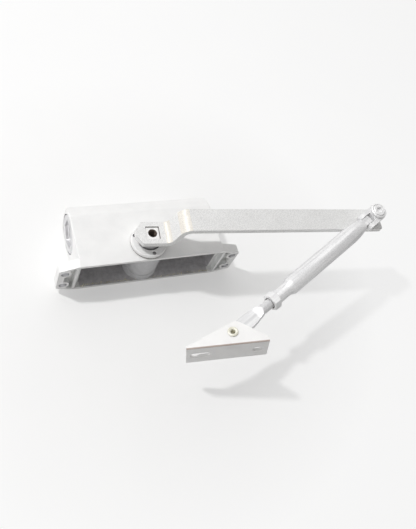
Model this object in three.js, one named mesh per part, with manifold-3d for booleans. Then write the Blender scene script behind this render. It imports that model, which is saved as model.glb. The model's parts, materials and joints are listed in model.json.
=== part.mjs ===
// Surface-mounted rack-and-pinion door closer with a regular arm. Millimetres, +Z up.
//
// The origin lies on the door plane (y = 0), at the pinion's axis (x = 0), halfway up the body (z = 0).
// X runs along the body, +Y points away from the door and Z runs along the pinion.
// The arm lies at its closed stop. Turning the pinion anticlockwise, seen from above, opens the door:
// the pinion drives the piston's rack towards -X and the piston compresses the main spring.

import * as THREE from 'three';
import { mergeVertices } from 'three/addons/utils/BufferGeometryUtils.js';
import Module from 'manifold-3d';

const wasm = await Module();
wasm.setup();

// ---------------------------------------------------------------- clearances

const SEAT_GAP = 0.3; // between faces that rest on each other
const RUNNING_GAP = 0.25; // round pieces that turn or slide in one another
const O_RING_PLAY = 0.15; // an O-ring to its groove and to its bore
const PISTON_RING_PLAY = 0.12; // the piston's ring to its groove and to the bore
const CUT_OVERRUN = 1; // how far a cutting tool runs past the face it opens

// ---------------------------------------------------------------- body casting

const BODY_LEFT = 59.1; // pinion axis to the spring end
const BODY_RIGHT = 64.9; // pinion axis to the valve end
const BODY_HEIGHT = 39.6;
const BODY_DEPTH = 60.5; // door plane to the crown of the bowed back
const BACK_CROWN = 2; // how far the back bows out beyond the bevels
const BEVEL_DEPTH = 11.5; // each bevel's reach towards the door
const BEVEL_DROP = 5.4; // how far each bevel comes in from the top or bottom face
const BODY_EDGE_RADIUS = 1.6;
const BODY_END_CHAMFER = 0.8;

const EAR_LENGTH = 16.1; // flange beyond each end of the body
const EAR_THICKNESS = 7.7;
const EAR_CORNER_RADIUS = 2.2;
const MOUNT_HOLE_RADIUS = 3.25;
const MOUNT_HOLE_PITCH = 19; // up the flange
const MOUNT_BOSS_RADIUS = 5.2; // each hole also stands this far from the ear's end and edge
const POCKET_DEPTH = 5; // relief between the two screw bosses of an ear
const POCKET_EDGE_WALL = 1.7;
const RIB_THICKNESS = 2; // between an ear's pocket and the main recess
const MOUTH_BEYOND_BODY = 0.4; // the recess's mouth reaches this far past each end of the body

const RECESS_WALL = 2.6; // top and bottom walls of the recess facing the door
const RECESS_END_WALL = 3.1;
const RECESS_DEPTH = 27;

const BORE_RADIUS = 16.2; // the piston's bore
const BARREL_WALL = 3;
const BACK_WALL = 2.1; // between the plugs' threads and the crown of the back
const PLUG_THREAD_STEP = 0.9; // the plugs' threads are this much larger in radius than the bore
const PLUG_LENGTH = 11;
const BOSS_WALL = 1.8; // pinion boss inside the recess
const BOSS_FOOT_STEP = 0.3;
const BOSS_FOOT_HEIGHT = 7; // thicker foot on the recess's lower wall

const VALVE_FROM_BORE = 17; // towards the door from the bore's axis
const VALVE_FROM_EDGE = 5.5; // in from the top or bottom face
const VALVE_BORE_RADIUS = 3.4;
const VALVE_BORE_DEPTH = 19;
const VALVE_BOSS_WALL = 2.2;
const VALVE_BOSS_LENGTH = 20;
const OIL_PORT_RADIUS = 1.1;
const OIL_PORT_FROM_END = 15.5;

// ---------------------------------------------------------------- rack, pinion and piston

const MODULE = 1.5;
const PINION_TEETH = 16;
const PRESSURE_ANGLE = THREE.MathUtils.degToRad(20);
const PINION_ADDENDUM = 1.3;
const RACK_ADDENDUM = 1.1;
const TIP_CLEARANCE = 0.35;
const BACKLASH = 0.4;
const RACK_FROM_BORE = 13.8; // bore axis to the rack's pitch line
const GEAR_FACE = 17.2;
const GEAR_TO_BOSS = 0.6; // tooth tips to the boss's bore
const JOURNAL_RADIUS = 8.5;
const JOURNAL_ABOVE_GLAND = 6.6; // the arm's hub rests on the journal's upper end
const PINION_SQUARE = 10.9; // across the flats that carry the arm
const PINION_SQUARE_CORNER = 1;
const PINION_CHAMFER = 0.5;
const PINION_END_GAP = 0.7; // lower end of the pinion to the cap's floor
const ARM_SCREW_HOLE_RADIUS = 3.25;
const ARM_SCREW_HOLE_DEPTH = 14;

const OPENING_ANGLE = THREE.MathUtils.degToRad(165);
const PISTON_LEFT_LAND = 3.4;
const SPRING_POCKET_RADIUS = 10.2;
const PISTON_HEAD = 19.6; // solid end that holds the check valve
const CHECK_CHAMBER_RADIUS = 4;
const CHECK_CHAMBER_DEPTH = 12;
const CHECK_BALL_RADIUS = 3.4;
const CHECK_PORT_RADIUS = 2.2;
const CHECK_CLIP_THICKNESS = 1.2;
const PISTON_RING_WIDTH = 2.4;
const PISTON_RING_DEPTH = 1.8;
const PISTON_RING_FROM_END = 4.2;

const SPRING_WIRE = 3;
const SPRING_TURNS = 9;
const SPRING_SIDE_GAP = 0.4; // to the wall of the piston's pocket
const SPRING_END_CLOSING = 0.55; // 0 for an even pitch, towards 1 for end turns that touch
const SPRING_STEPS_PER_TURN = 12;

// ---------------------------------------------------------------- glands, bearings and plugs

const GLAND_FLANGE_STEP = 1.3; // the flange's edge beyond the boss's bore
const GLAND_FLANGE_HEIGHT = 4.5;
const GLAND_LIP_GAP = 0.8; // lip to journal
const GLAND_LIP_HEIGHT = 2.7;
const GLAND_SKIRT_WALL = 1.1;
const GLAND_CHAMFER = 0.8;
const SPANNER_HOLE_RADIUS = 1.6;
const SPANNER_HOLE_DEPTH = 2.6;
const SPANNER_HOLE_COUNT = 3;
const SPANNER_HOLE_START = THREE.MathUtils.degToRad(155);
const THRUST_WASHER = 0.9;
const BEARING_END_GAP = 0.4; // lower bearing to the cap's floor
const SEAL_STEP = 1.3; // the seal is this much smaller in radius than the bearings
const SEAL_HEIGHT = 3.8;
const LOWER_CAP_FLOOR = 2.4;
const LOWER_HOLE_RADIUS = 1.2; // spanner holes of the lower cap
const LOWER_HOLE_CIRCLE = 9.5;
const LOWER_HOLE_DEPTH = 1.4;

const PLUG_SOCKET = 22; // across the flats of the key recess
const PLUG_SOCKET_DEPTH = 3;
const PLUG_SOCKET_TURN = THREE.MathUtils.degToRad(-40);
const PLUG_CHAMFER = 0.7;
const O_RING_SECTION = 0.85;
const O_RING_FROM_FACE = 3; // from the plug's inner face
const VALVE_SCREW_LENGTH = 16;
const VALVE_SCREW_INSET = 0.6; // below the body's end face
const VALVE_HEAD_LENGTH = 5;
const VALVE_SLOT_WIDTH = 1;
const VALVE_SLOT_DEPTH = 1.4;
const VALVE_RING_SECTION = 0.55;

// ---------------------------------------------------------------- main arm

const ARM_HEADING = THREE.MathUtils.degToRad(-5.2);
const ARM_LENGTH = 195.2; // pinion axis to elbow axis
const ARM_HUB_THICKNESS = 5;
const ARM_HUB_LEFT = 14.1;
const ARM_HUB_NOSE_WIDTH = 4.8; // flat end of the hub between its two cut corners
const ARM_HUB_CORNER = 8.8; // pinion axis to where the cut corners end
const ARM_RISE = 19.7; // top of the hub to top of the bar
const ARM_BAR_THICKNESS = 4.6;
const ARM_BAR_WIDTH = 20.2;
const ARM_LOWER_BEND = 13.5; // pinion axis to the start of the joggle
const ARM_JOGGLE_LENGTH = 7;
const ARM_BEND_RADIUS = 3.2;
const ARM_BEYOND_ELBOW = 9.3;
const ARM_END_RADIUS = 1.8;
const ARM_HUB_CORNER_RADIUS = 1;
const ARM_SQUARE_GAP = 0.15;

// ---------------------------------------------------------------- elbow

const KNUCKLE_RADIUS = 7.6;
const KNUCKLE_HEIGHT = 12.1;
const KNUCKLE_WIDTH = 14.6; // over the two cheeks
const CHEEK_ROUND_RADIUS = 5;
const ELBOW_SCREW_RADIUS = 4;
const ELBOW_SCREW_CHAMFER = 0.6;
const ELBOW_SCREW_BELOW_BAR = 0.6;
const ELBOW_HEAD_RADIUS = 5.5;
const ELBOW_HEAD_HEIGHT = 1.8;
const ELBOW_HEAD_PROUD = 0.7; // of the washer that it sits in
const ELBOW_KEY = 5;
const ELBOW_KEY_DEPTH = 2.4;
const ELBOW_WASHER_RIM = 1.7; // round the screw's head
const ELBOW_WASHER_HEIGHT = 2.4;
const ELBOW_WASHER_CHAMFER = 0.7;
const TILT_PIN_RADIUS = 2.5;
const TILT_PIN_CHAMFER = 0.4;
const TONGUE_WIDTH = 7;
const TONGUE_ROUND_RADIUS = 4.2;
const TONGUE_END_GAP = 0.7; // to the knuckle's barrel

// ---------------------------------------------------------------- forearm

const FOREARM_HEADING = THREE.MathUtils.degToRad(-153);
const FOREARM_DROOP = THREE.MathUtils.degToRad(7.95);
const TUBE_FROM_CHEEKS = 1.4; // mouth of the tube to the cheeks' round ends
const TUBE_LENGTH = 109.2;
const TUBE_RADIUS = 7.5;
const TUBE_MOUTH_RADIUS = 5.2; // where the tube meets the tongue
const TUBE_SWELL_LENGTH = 18.6;
const TUBE_NECK_LENGTH = 11.6;
const TUBE_NECK_RADIUS = 5.5;
const TUBE_TAPER_LENGTH = 6; // between the neck and the full radius
const TUBE_BORE_DEPTH = 53.6;
const LOCK_NUT_FLATS = 13;
const LOCK_NUT_HEIGHT = 6.5;
const ROD_RADIUS = 3.95;
const ROD_CHAMFER = 0.7;
const ROD_IN_TUBE = 43.6; // length of thread inside the tube
const ROD_BORE_GAP = 0.35;
const ROD_BEYOND_NUT = 9.6; // round shank between the nut and the forged flat
const ROD_FORGED_LENGTH = 6.5; // over which the shank flattens
const ROD_FLAT_ROUND = 3; // where the forging meets the flat
const ROD_FLAT_LENGTH = 25.6; // from there to the eye's centre
const ROD_EYE_RADIUS = 6.2;
const ROD_EYE_THICKNESS = 4.6;
const ROD_TWIST = THREE.MathUtils.degToRad(14);

// ---------------------------------------------------------------- frame bracket

const BRACKET_HEADING = THREE.MathUtils.degToRad(144.3); // against the rod
const BRACKET_SHEET = 2.5;
const BRACKET_LEFT = 36.6; // rivet axis to each end of the flange
const BRACKET_RIGHT = 26.6;
const BRACKET_FLANGE_HEIGHT = 23.4;
const EYE_TO_FLANGE = 1.7; // side of the rod's eye to the flange's inner face
const BRACKET_LEFT_EDGE = 2.2; // the plate's ends are this wide beyond the flange's outer face
const BRACKET_RIGHT_EDGE = 3.9;
const BRACKET_APEX_X = 3.5;
const BRACKET_APEX_Y = 9.9;
const BRACKET_APEX_RADIUS = 6;
const BRACKET_BEND_RADIUS = 1.2;
const BRACKET_CORNER_RADIUS = 1.2;
const SLOT_WIDTH = 6.4;
const SLOT_FROM_FLANGE_EDGE = 11.2; // lower edge of the flange to the slots' centre line
const LONG_SLOT_LENGTH = 16.2;
const LONG_SLOT_FROM_END = 2.9;
const SHORT_SLOT_LENGTH = 8.2;
const SHORT_SLOT_FROM_END = 4.1;
const RIVET_RADIUS = 2.7;
const RIVET_CHAMFER = 0.5;
const RIVET_GAP = 0.3;
const RIVET_HEAD_RADIUS = 4.1;
const RIVET_HEAD_HEIGHT = 1;
const RIVET_HOLLOW_RADIUS = 1.7;
const RIVET_HOLLOW_DEPTH = 6.5;
const RIVET_WASHER_RADIUS = 5;
const RIVET_WASHER_THICKNESS = 1;

// ---------------------------------------------------------------- facets

const FINE = 36; // facets round a large circle
const MEDIUM = 26; // round a journal, a tube or a screw's head
const COARSE = 18; // round a pin or a hole
const TINY = 12; // round a drilling or a pin spanner's hole
const ARC_SMALL = 3; // in the corner of a pocket or a square
const ARC_CORNER = 4; // in an outline's corner
const ARC_BEND = 5; // in a bend of the arm
const ARC_WIDE = 6; // in the bracket's round apex
const ARC_EDGE = 8; // in the body's edge and round the rod's eye
const ARC_END = 10; // in a fully round end
const RING_SIDES = 6; // round the section of a sealing ring
const FLANK_STEPS = 2; // along a tooth's flank
const SWELL_STEPS = 5; // along the forearm tube's swell

// ---------------------------------------------------------------- worked-out places

const BODY_HALF = BODY_HEIGHT / 2;
const BODY_SHOULDER_DEPTH = BODY_DEPTH - BACK_CROWN;
const BEVEL_SLOPE = BEVEL_DROP / BEVEL_DEPTH;
const EAR_HEIGHT = MOUNT_HOLE_PITCH + 2 * MOUNT_BOSS_RADIUS;
const PLUG_BORE_RADIUS = BORE_RADIUS + PLUG_THREAD_STEP;
const PLUG_RADIUS = PLUG_BORE_RADIUS - SEAT_GAP;
const PLUG_RING_RADIUS = PLUG_BORE_RADIUS - O_RING_PLAY - O_RING_SECTION;
const PLUG_INNER_LEFT = -BODY_LEFT + PLUG_LENGTH;
const PLUG_INNER_RIGHT = BODY_RIGHT - PLUG_LENGTH;
const BORE_Y = BODY_DEPTH - BACK_WALL - PLUG_BORE_RADIUS;
const VALVE_Y = BORE_Y - VALVE_FROM_BORE;
const VALVE_Z = BODY_HALF - VALVE_FROM_EDGE;
const VALVE_HEIGHTS = { upper: VALVE_Z, lower: -VALVE_Z };

const PITCH_RADIUS = (MODULE * PINION_TEETH) / 2;
const PINION_TIP_RADIUS = PITCH_RADIUS + PINION_ADDENDUM;
const BOSS_BORE_RADIUS = PINION_TIP_RADIUS + GEAR_TO_BOSS;
const BOSS_RADIUS = BOSS_BORE_RADIUS + BOSS_WALL;
const RACK_PITCH = Math.PI * MODULE;
const RACK_PITCH_Y = BORE_Y - RACK_FROM_BORE;
const PINION_Y = RACK_PITCH_Y - PITCH_RADIUS;
const RACK_TIP_Y = RACK_PITCH_Y - RACK_ADDENDUM;
const RACK_ROOT_Y = PINION_Y + PINION_TIP_RADIUS + TIP_CLEARANCE;
const PISTON_RADIUS = BORE_RADIUS - RUNNING_GAP;
const PISTON_TRAVEL = PITCH_RADIUS * OPENING_ANGLE;
const PISTON_RIGHT = PLUG_INNER_RIGHT - SEAT_GAP;
const PINION_REACH = Math.sqrt(PINION_TIP_RADIUS ** 2 - (BORE_Y - PISTON_RADIUS - PINION_Y) ** 2);
const RACK_SPACES_LEFT = Math.floor(PINION_REACH / RACK_PITCH);
const RACK_SPACES_RIGHT = Math.floor((PISTON_TRAVEL + PINION_REACH) / RACK_PITCH);
const RACK_FLAT_LEFT = -Math.max(PINION_REACH + SEAT_GAP, (RACK_SPACES_LEFT + 0.5) * RACK_PITCH);
const RACK_FLAT_RIGHT = Math.max(
  PISTON_TRAVEL + PINION_REACH + SEAT_GAP,
  (RACK_SPACES_RIGHT + 0.5) * RACK_PITCH,
);
const PISTON_LEFT = RACK_FLAT_LEFT - PISTON_LEFT_LAND;
const SPRING_POCKET_END = PISTON_RIGHT - PISTON_HEAD;

const GLAND_SKIRT_RADIUS = BOSS_BORE_RADIUS - SEAT_GAP;
const GLAND_FLANGE_RADIUS = BOSS_BORE_RADIUS + GLAND_FLANGE_STEP;
const GLAND_LIP_RADIUS = JOURNAL_RADIUS + GLAND_LIP_GAP;
const GLAND_BOTTOM = GEAR_FACE / 2 + SEAT_GAP + THRUST_WASHER + SEAT_GAP;
const GLAND_SEAT = BODY_HALF + SEAT_GAP;
const GLAND_TOP = GLAND_SEAT + GLAND_FLANGE_HEIGHT;
const SPANNER_HOLE_CIRCLE = (GLAND_LIP_RADIUS + GLAND_FLANGE_RADIUS) / 2;
const CAP_FLOOR_TOP = -BODY_HALF + SEAT_GAP + LOWER_CAP_FLOOR;
const BEARING_LENGTH = -CAP_FLOOR_TOP - BEARING_END_GAP - GLAND_BOTTOM;
const BEARING_BORE_RADIUS = JOURNAL_RADIUS + RUNNING_GAP;
const BEARING_SEAT_RADIUS = GLAND_SKIRT_RADIUS - GLAND_SKIRT_WALL;
const BEARING_OUTER_RADIUS = BEARING_SEAT_RADIUS - SEAT_GAP;
const SEAL_OUTER_RADIUS = BEARING_OUTER_RADIUS - SEAL_STEP;

const JOURNAL_TOP = GLAND_TOP + JOURNAL_ABOVE_GLAND;
const ARM_HUB_BOTTOM = JOURNAL_TOP + SEAT_GAP;
const ARM_HUB_TOP = ARM_HUB_BOTTOM + ARM_HUB_THICKNESS;
const ARM_UPPER_BEND = ARM_LOWER_BEND + ARM_JOGGLE_LENGTH;
const ARM_BAR_TOP = ARM_HUB_TOP + ARM_RISE;
const BAR_BOTTOM = ARM_BAR_TOP - ARM_BAR_THICKNESS;
const KNUCKLE_BOTTOM = ARM_BAR_TOP + SEAT_GAP;
const KNUCKLE_TOP = KNUCKLE_BOTTOM + KNUCKLE_HEIGHT;
const ELBOW_WASHER_TOP = KNUCKLE_TOP + SEAT_GAP + ELBOW_WASHER_HEIGHT;
const ELBOW_WASHER_RADIUS = ELBOW_HEAD_RADIUS + ELBOW_WASHER_RIM;
const ELBOW_HEAD_TOP = ELBOW_WASHER_TOP + ELBOW_HEAD_PROUD;
const TILT_PIN_Z = KNUCKLE_TOP - CHEEK_ROUND_RADIUS;
const TILT_PIN_OFFSET = KNUCKLE_RADIUS + TONGUE_END_GAP + TONGUE_ROUND_RADIUS;

// Distances along the forearm are from the cross pin.
const TUBE_START = CHEEK_ROUND_RADIUS + TUBE_FROM_CHEEKS;
const TUBE_END = TUBE_START + TUBE_LENGTH;
const LOCK_NUT_START = TUBE_END + SEAT_GAP;
const LOCK_NUT_END = LOCK_NUT_START + LOCK_NUT_HEIGHT;
const ROD_START = TUBE_END - ROD_IN_TUBE;
const ROD_FLAT_START = LOCK_NUT_END + ROD_BEYOND_NUT;
const ROD_FLAT_FULL = ROD_FLAT_START + ROD_FORGED_LENGTH;
const ROD_EYE_AT = ROD_FLAT_FULL + ROD_FLAT_LENGTH;

// Distances on the bracket are from the rivet's axis.
const PLATE_TOP = ROD_EYE_THICKNESS / 2 + SEAT_GAP + BRACKET_SHEET;
const FLANGE_INNER_Y = -ROD_EYE_RADIUS - EYE_TO_FLANGE;
const FLANGE_OUTER_Y = FLANGE_INNER_Y - BRACKET_SHEET;

// ---------------------------------------------------------------- shape helpers

/** Axes along which a flat outline is extruded: its own x, its own y, then the direction. */
const AXES = {
  alongX: [new THREE.Vector3(0, 1, 0), new THREE.Vector3(0, 0, 1), new THREE.Vector3(1, 0, 0)],
  alongY: [new THREE.Vector3(0, 0, 1), new THREE.Vector3(1, 0, 0), new THREE.Vector3(0, 1, 0)],
  alongZ: [new THREE.Vector3(1, 0, 0), new THREE.Vector3(0, 1, 0), new THREE.Vector3(0, 0, 1)],
};

/** Outline through corners [x, y, radius], each rounded by its radius. */
function roundedShape(corners) {
  const shape = new THREE.Shape();
  corners.forEach(([x, y, radius = 0], index) => {
    const corner = new THREE.Vector2(x, y);
    const before = new THREE.Vector2(...corners.at(index - 1).slice(0, 2));
    const after = new THREE.Vector2(...corners[(index + 1) % corners.length].slice(0, 2));
    const incoming = before.sub(corner).normalize();
    const outgoing = after.sub(corner).normalize();
    const half = incoming.angleTo(outgoing) / 2;
    const reach = radius / Math.tan(half);
    const start = corner.clone().addScaledVector(incoming, reach);
    const end = corner.clone().addScaledVector(outgoing, reach);
    if (index === 0) shape.moveTo(start.x, start.y);
    else shape.lineTo(start.x, start.y);
    if (radius > 0) shape.quadraticCurveTo(x, y, end.x, end.y);
  });
  shape.closePath();
  return shape;
}

/** Regular polygon with the given distance across its flats. */
function polygonShape(acrossFlats, sides, turn = 0) {
  const radius = acrossFlats / 2 / Math.cos(Math.PI / sides);
  const points = [];
  for (let side = 0; side < sides; side += 1) {
    const angle = turn + (2 * Math.PI * side) / sides;
    points.push(new THREE.Vector2(radius * Math.cos(angle), radius * Math.sin(angle)));
  }
  return new THREE.Shape(points);
}

/** Slot outline with round ends, centred on (x, y) and running along its own x. */
function slotShape(x, y, length, width) {
  const reach = (length - width) / 2;
  const shape = new THREE.Shape();
  shape.absarc(x + reach, y, width / 2, -Math.PI / 2, Math.PI / 2);
  shape.absarc(x - reach, y, width / 2, Math.PI / 2, (3 * Math.PI) / 2);
  shape.closePath();
  return shape;
}

/** Solid of a flat outline between two stations of the chosen axis. */
function extrude(shape, axis, from, to, curveSegments = ARC_WIDE, bevel = 0) {
  const geometry = new THREE.ExtrudeGeometry(shape, {
    depth: to - from - 2 * bevel,
    curveSegments,
    bevelEnabled: bevel > 0,
    bevelThickness: bevel,
    bevelSize: bevel,
    bevelOffset: -bevel,
    bevelSegments: 1,
  });
  geometry.translate(0, 0, from + bevel);
  return geometry.applyMatrix4(new THREE.Matrix4().makeBasis(...AXES[axis]));
}

/** Solid of revolution about the chosen axis through (0, 0, 0); profile points are [radius, station]. */
function turned(profile, axis, facets = FINE) {
  const points = profile.map(([radius, station]) => new THREE.Vector2(radius, station));
  const onAxis = profile[0][0] === 0 && profile.at(-1)[0] === 0;
  if (!onAxis) points.push(points[0].clone());
  const geometry = new THREE.LatheGeometry(points, facets);
  geometry.rotateX(Math.PI / 2);
  return geometry.applyMatrix4(new THREE.Matrix4().makeBasis(...AXES[axis]));
}

/** Plain cylinder about the chosen axis. */
function cylinder(radius, axis, from, to, facets = FINE) {
  return turned([[0, from], [radius, from], [radius, to], [0, to]], axis, facets);
}

/** Ring of rectangular section about the chosen axis. */
function ring(inner, outer, axis, from, to, facets = FINE) {
  return turned([[inner, from], [outer, from], [outer, to], [inner, to]], axis, facets);
}

/** Round ring of round section about the chosen axis, in the plane at the given station. */
function roundRing(radius, section, axis, station, facets = MEDIUM) {
  const geometry = new THREE.TorusGeometry(radius, section, RING_SIDES, facets);
  geometry.translate(0, 0, station);
  return geometry.applyMatrix4(new THREE.Matrix4().makeBasis(...AXES[axis]));
}

/** Box between two corners. */
function block(low, high) {
  const [width, depth, height] = high.map((value, index) => value - low[index]);
  const geometry = new THREE.BoxGeometry(width, depth, height);
  return geometry.translate(low[0] + width / 2, low[1] + depth / 2, low[2] + height / 2);
}

/** The library's closed solid for a geometry. */
function toSolid(geometry) {
  const bare = new THREE.BufferGeometry();
  bare.setAttribute('position', geometry.getAttribute('position').clone());
  if (geometry.index) bare.setIndex(geometry.index.clone());
  const merged = mergeVertices(bare, 1e-4);
  const triangles = [];
  for (let start = 0; start < merged.index.count; start += 3) {
    const corners = [0, 1, 2].map((offset) => merged.index.getX(start + offset));
    if (new Set(corners).size === 3) triangles.push(...corners);
  }
  return new wasm.Manifold(new wasm.Mesh({
    numProp: 3,
    vertProperties: new Float32Array(merged.getAttribute('position').array),
    triVerts: new Uint32Array(triangles),
  }));
}

/** Joins every piece in add, then takes away every tool in cut. */
function build(add, cut = []) {
  let solid = toSolid(add[0]);
  for (const piece of add.slice(1)) solid = solid.add(toSolid(piece));
  for (const tool of cut) solid = solid.subtract(toSolid(tool));
  return toGeometry(solid);
}

/** What all the given geometries share. */
function common(geometries) {
  let solid = toSolid(geometries[0]);
  for (const piece of geometries.slice(1)) solid = solid.intersect(toSolid(piece));
  return toGeometry(solid);
}

/** Geometry of a library solid. */
function toGeometry(solid) {
  const mesh = solid.getMesh();
  const geometry = new THREE.BufferGeometry();
  geometry.setAttribute('position', new THREE.BufferAttribute(mesh.vertProperties, mesh.numProp));
  geometry.setIndex(new THREE.BufferAttribute(mesh.triVerts, 1));
  geometry.computeVertexNormals();
  return geometry;
}

// ---------------------------------------------------------------- finishes

const FINISHES = {
  casting: { color: 0xd9dadb, roughness: 0.45, metalness: 0.3 },
  paintedSteel: { color: 0xd2d3d4, roughness: 0.5, metalness: 0.4 },
  zinc: { color: 0xc9ccd0, roughness: 0.3, metalness: 0.9 },
  steel: { color: 0xa9abae, roughness: 0.35, metalness: 1 },
  springSteel: { color: 0x6f7276, roughness: 0.4, metalness: 1 },
  bronze: { color: 0xa98247, roughness: 0.4, metalness: 1 },
  rubber: { color: 0x1d1d1f, roughness: 0.8, metalness: 0 },
};

/** Named sub-part. */
function part(name, finish, geometry) {
  const mesh = new THREE.Mesh(geometry, new THREE.MeshStandardMaterial(FINISHES[finish]));
  mesh.name = name;
  return mesh;
}

// ---------------------------------------------------------------- body casting

/** Outer form: flat top and bottom, bevelled shoulders and a bowed back. */
function bodyForm() {
  const shoulder = BODY_HALF - BEVEL_DROP;
  const flatEnd = BODY_SHOULDER_DEPTH - BEVEL_DEPTH;
  const edge = BODY_EDGE_RADIUS;
  const shape = new THREE.Shape();
  shape.moveTo(0, -BODY_HALF);
  shape.lineTo(flatEnd - edge, -BODY_HALF);
  shape.quadraticCurveTo(flatEnd, -BODY_HALF, flatEnd + edge, -BODY_HALF + edge * BEVEL_SLOPE);
  shape.lineTo(BODY_SHOULDER_DEPTH, -shoulder);
  shape.quadraticCurveTo(BODY_SHOULDER_DEPTH + 2 * BACK_CROWN, 0, BODY_SHOULDER_DEPTH, shoulder);
  shape.lineTo(flatEnd + edge, BODY_HALF - edge * BEVEL_SLOPE);
  shape.quadraticCurveTo(flatEnd, BODY_HALF, flatEnd - edge, BODY_HALF);
  shape.lineTo(0, BODY_HALF);
  shape.closePath();
  return extrude(shape, 'alongX', -BODY_LEFT, BODY_RIGHT, ARC_EDGE, BODY_END_CHAMFER);
}

/** Half height of the flange at a distance beyond the body's end. */
function flangeHalf(beyond) {
  return BODY_HALF - ((BODY_HALF - EAR_HEIGHT / 2) * beyond) / EAR_LENGTH;
}

/** Mounting flange: one ear beyond each end, narrowing from the body's height. */
function flangeForm() {
  const half = EAR_HEIGHT / 2;
  const left = -BODY_LEFT - EAR_LENGTH;
  const right = BODY_RIGHT + EAR_LENGTH;
  const shape = roundedShape([
    [-half, left, EAR_CORNER_RADIUS],
    [-BODY_HALF, -BODY_LEFT, EAR_CORNER_RADIUS],
    [-BODY_HALF, BODY_RIGHT, EAR_CORNER_RADIUS],
    [-half, right, EAR_CORNER_RADIUS],
    [half, right, EAR_CORNER_RADIUS],
    [BODY_HALF, BODY_RIGHT, EAR_CORNER_RADIUS],
    [BODY_HALF, -BODY_LEFT, EAR_CORNER_RADIUS],
    [half, left, EAR_CORNER_RADIUS],
  ]);
  return extrude(shape, 'alongY', 0, EAR_THICKNESS, 4);
}

/** Centre of each mounting hole, as [x, z]. */
function mountHoles() {
  const fromCentre = EAR_LENGTH - MOUNT_BOSS_RADIUS;
  return [-BODY_LEFT - fromCentre, BODY_RIGHT + fromCentre].flatMap((x) => [
    [x, -MOUNT_HOLE_PITCH / 2],
    [x, MOUNT_HOLE_PITCH / 2],
  ]);
}

/** Relief of one ear: open between the rib and the two screw bosses. */
function earPocket(side) {
  const bodyEnd = side < 0 ? BODY_LEFT : BODY_RIGHT;
  const inner = MOUTH_BEYOND_BODY + RIB_THICKNESS;
  const outer = EAR_LENGTH - MOUNT_BOSS_RADIUS;
  const innerHalf = flangeHalf(inner) - POCKET_EDGE_WALL;
  const outerHalf = MOUNT_HOLE_PITCH / 2 + MOUNT_BOSS_RADIUS / 2;
  const shape = roundedShape([
    [-innerHalf, side * (bodyEnd + inner), 1],
    [innerHalf, side * (bodyEnd + inner), 1],
    [outerHalf, side * (bodyEnd + outer)],
    [-outerHalf, side * (bodyEnd + outer)],
  ]);
  const bosses = mountHoles()
    .filter(([x]) => Math.sign(x) === side)
    .map(([x, z]) => cylinder(MOUNT_BOSS_RADIUS, 'alongY', -2 * CUT_OVERRUN, EAR_THICKNESS, COARSE)
      .translate(x, 0, z));
  return build([extrude(shape, 'alongY', -CUT_OVERRUN, POCKET_DEPTH, ARC_SMALL)], bosses);
}

/** Open space on the door side, between the walls, the barrel, the pinion boss and the valve bosses. */
function recess() {
  const inner = BODY_HALF - RECESS_WALL;
  const left = -BODY_LEFT + RECESS_END_WALL;
  const right = BODY_RIGHT - RECESS_END_WALL;
  const room = block([left, -CUT_OVERRUN, -inner], [right, RECESS_DEPTH, inner]);
  const mouth = block(
    [-BODY_LEFT - MOUTH_BEYOND_BODY, -CUT_OVERRUN, -inner],
    [BODY_RIGHT + MOUTH_BEYOND_BODY, POCKET_DEPTH, inner],
  );
  const barrel = cylinder(BORE_RADIUS + BARREL_WALL, 'alongX', -BODY_LEFT, BODY_RIGHT);
  const boss = cylinder(BOSS_RADIUS, 'alongZ', -BODY_HALF, BODY_HALF);
  const foot = cylinder(BOSS_RADIUS + BOSS_FOOT_STEP, 'alongZ', -BODY_HALF, -inner + BOSS_FOOT_HEIGHT);
  const valves = Object.values(VALVE_HEIGHTS).map((z) => (
    cylinder(
      VALVE_BORE_RADIUS + VALVE_BOSS_WALL,
      'alongX',
      right - VALVE_BOSS_LENGTH,
      BODY_RIGHT,
      COARSE,
    ).translate(0, VALVE_Y, z)
  ));
  return build([room, mouth], [
    barrel.translate(0, BORE_Y, 0),
    boss.translate(0, PINION_Y, 0),
    foot.translate(0, PINION_Y, 0),
    ...valves,
  ]);
}

/** Drilling from a speed valve's seat into the piston's bore. */
function oilPort(z) {
  const reach = Math.hypot(BORE_Y - VALVE_Y, z) - BORE_RADIUS + CUT_OVERRUN;
  return cylinder(OIL_PORT_RADIUS, 'alongY', 0, reach, TINY)
    .rotateX(Math.atan2(-z, BORE_Y - VALVE_Y))
    .translate(BODY_RIGHT - OIL_PORT_FROM_END, VALVE_Y, z);
}

/** Bores and drillings of the casting. */
function bodyDrillings() {
  const beyond = BODY_HALF + CUT_OVERRUN;
  const boreLeft = PLUG_INNER_LEFT - CUT_OVERRUN;
  const boreRight = PLUG_INNER_RIGHT + CUT_OVERRUN;
  const bore = cylinder(BORE_RADIUS, 'alongX', boreLeft, boreRight);
  const leftThread = cylinder(PLUG_BORE_RADIUS, 'alongX', -BODY_LEFT - CUT_OVERRUN, PLUG_INNER_LEFT);
  const rightThread = cylinder(PLUG_BORE_RADIUS, 'alongX', PLUG_INNER_RIGHT, BODY_RIGHT + CUT_OVERRUN);
  const pinionBore = cylinder(BOSS_BORE_RADIUS, 'alongZ', -beyond, beyond);
  const holes = mountHoles().map(([x, z]) => (
    cylinder(MOUNT_HOLE_RADIUS, 'alongY', -CUT_OVERRUN, EAR_THICKNESS + CUT_OVERRUN, COARSE)
      .translate(x, 0, z)
  ));
  const valves = Object.values(VALVE_HEIGHTS).flatMap((z) => [
    cylinder(VALVE_BORE_RADIUS, 'alongX', BODY_RIGHT - VALVE_BORE_DEPTH, BODY_RIGHT + CUT_OVERRUN, COARSE)
      .translate(0, VALVE_Y, z),
    oilPort(z),
  ]);
  return [
    ...[bore, leftThread, rightThread].map((tool) => tool.translate(0, BORE_Y, 0)),
    pinionBore.translate(0, PINION_Y, 0),
    ...holes,
    ...valves,
  ];
}

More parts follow.
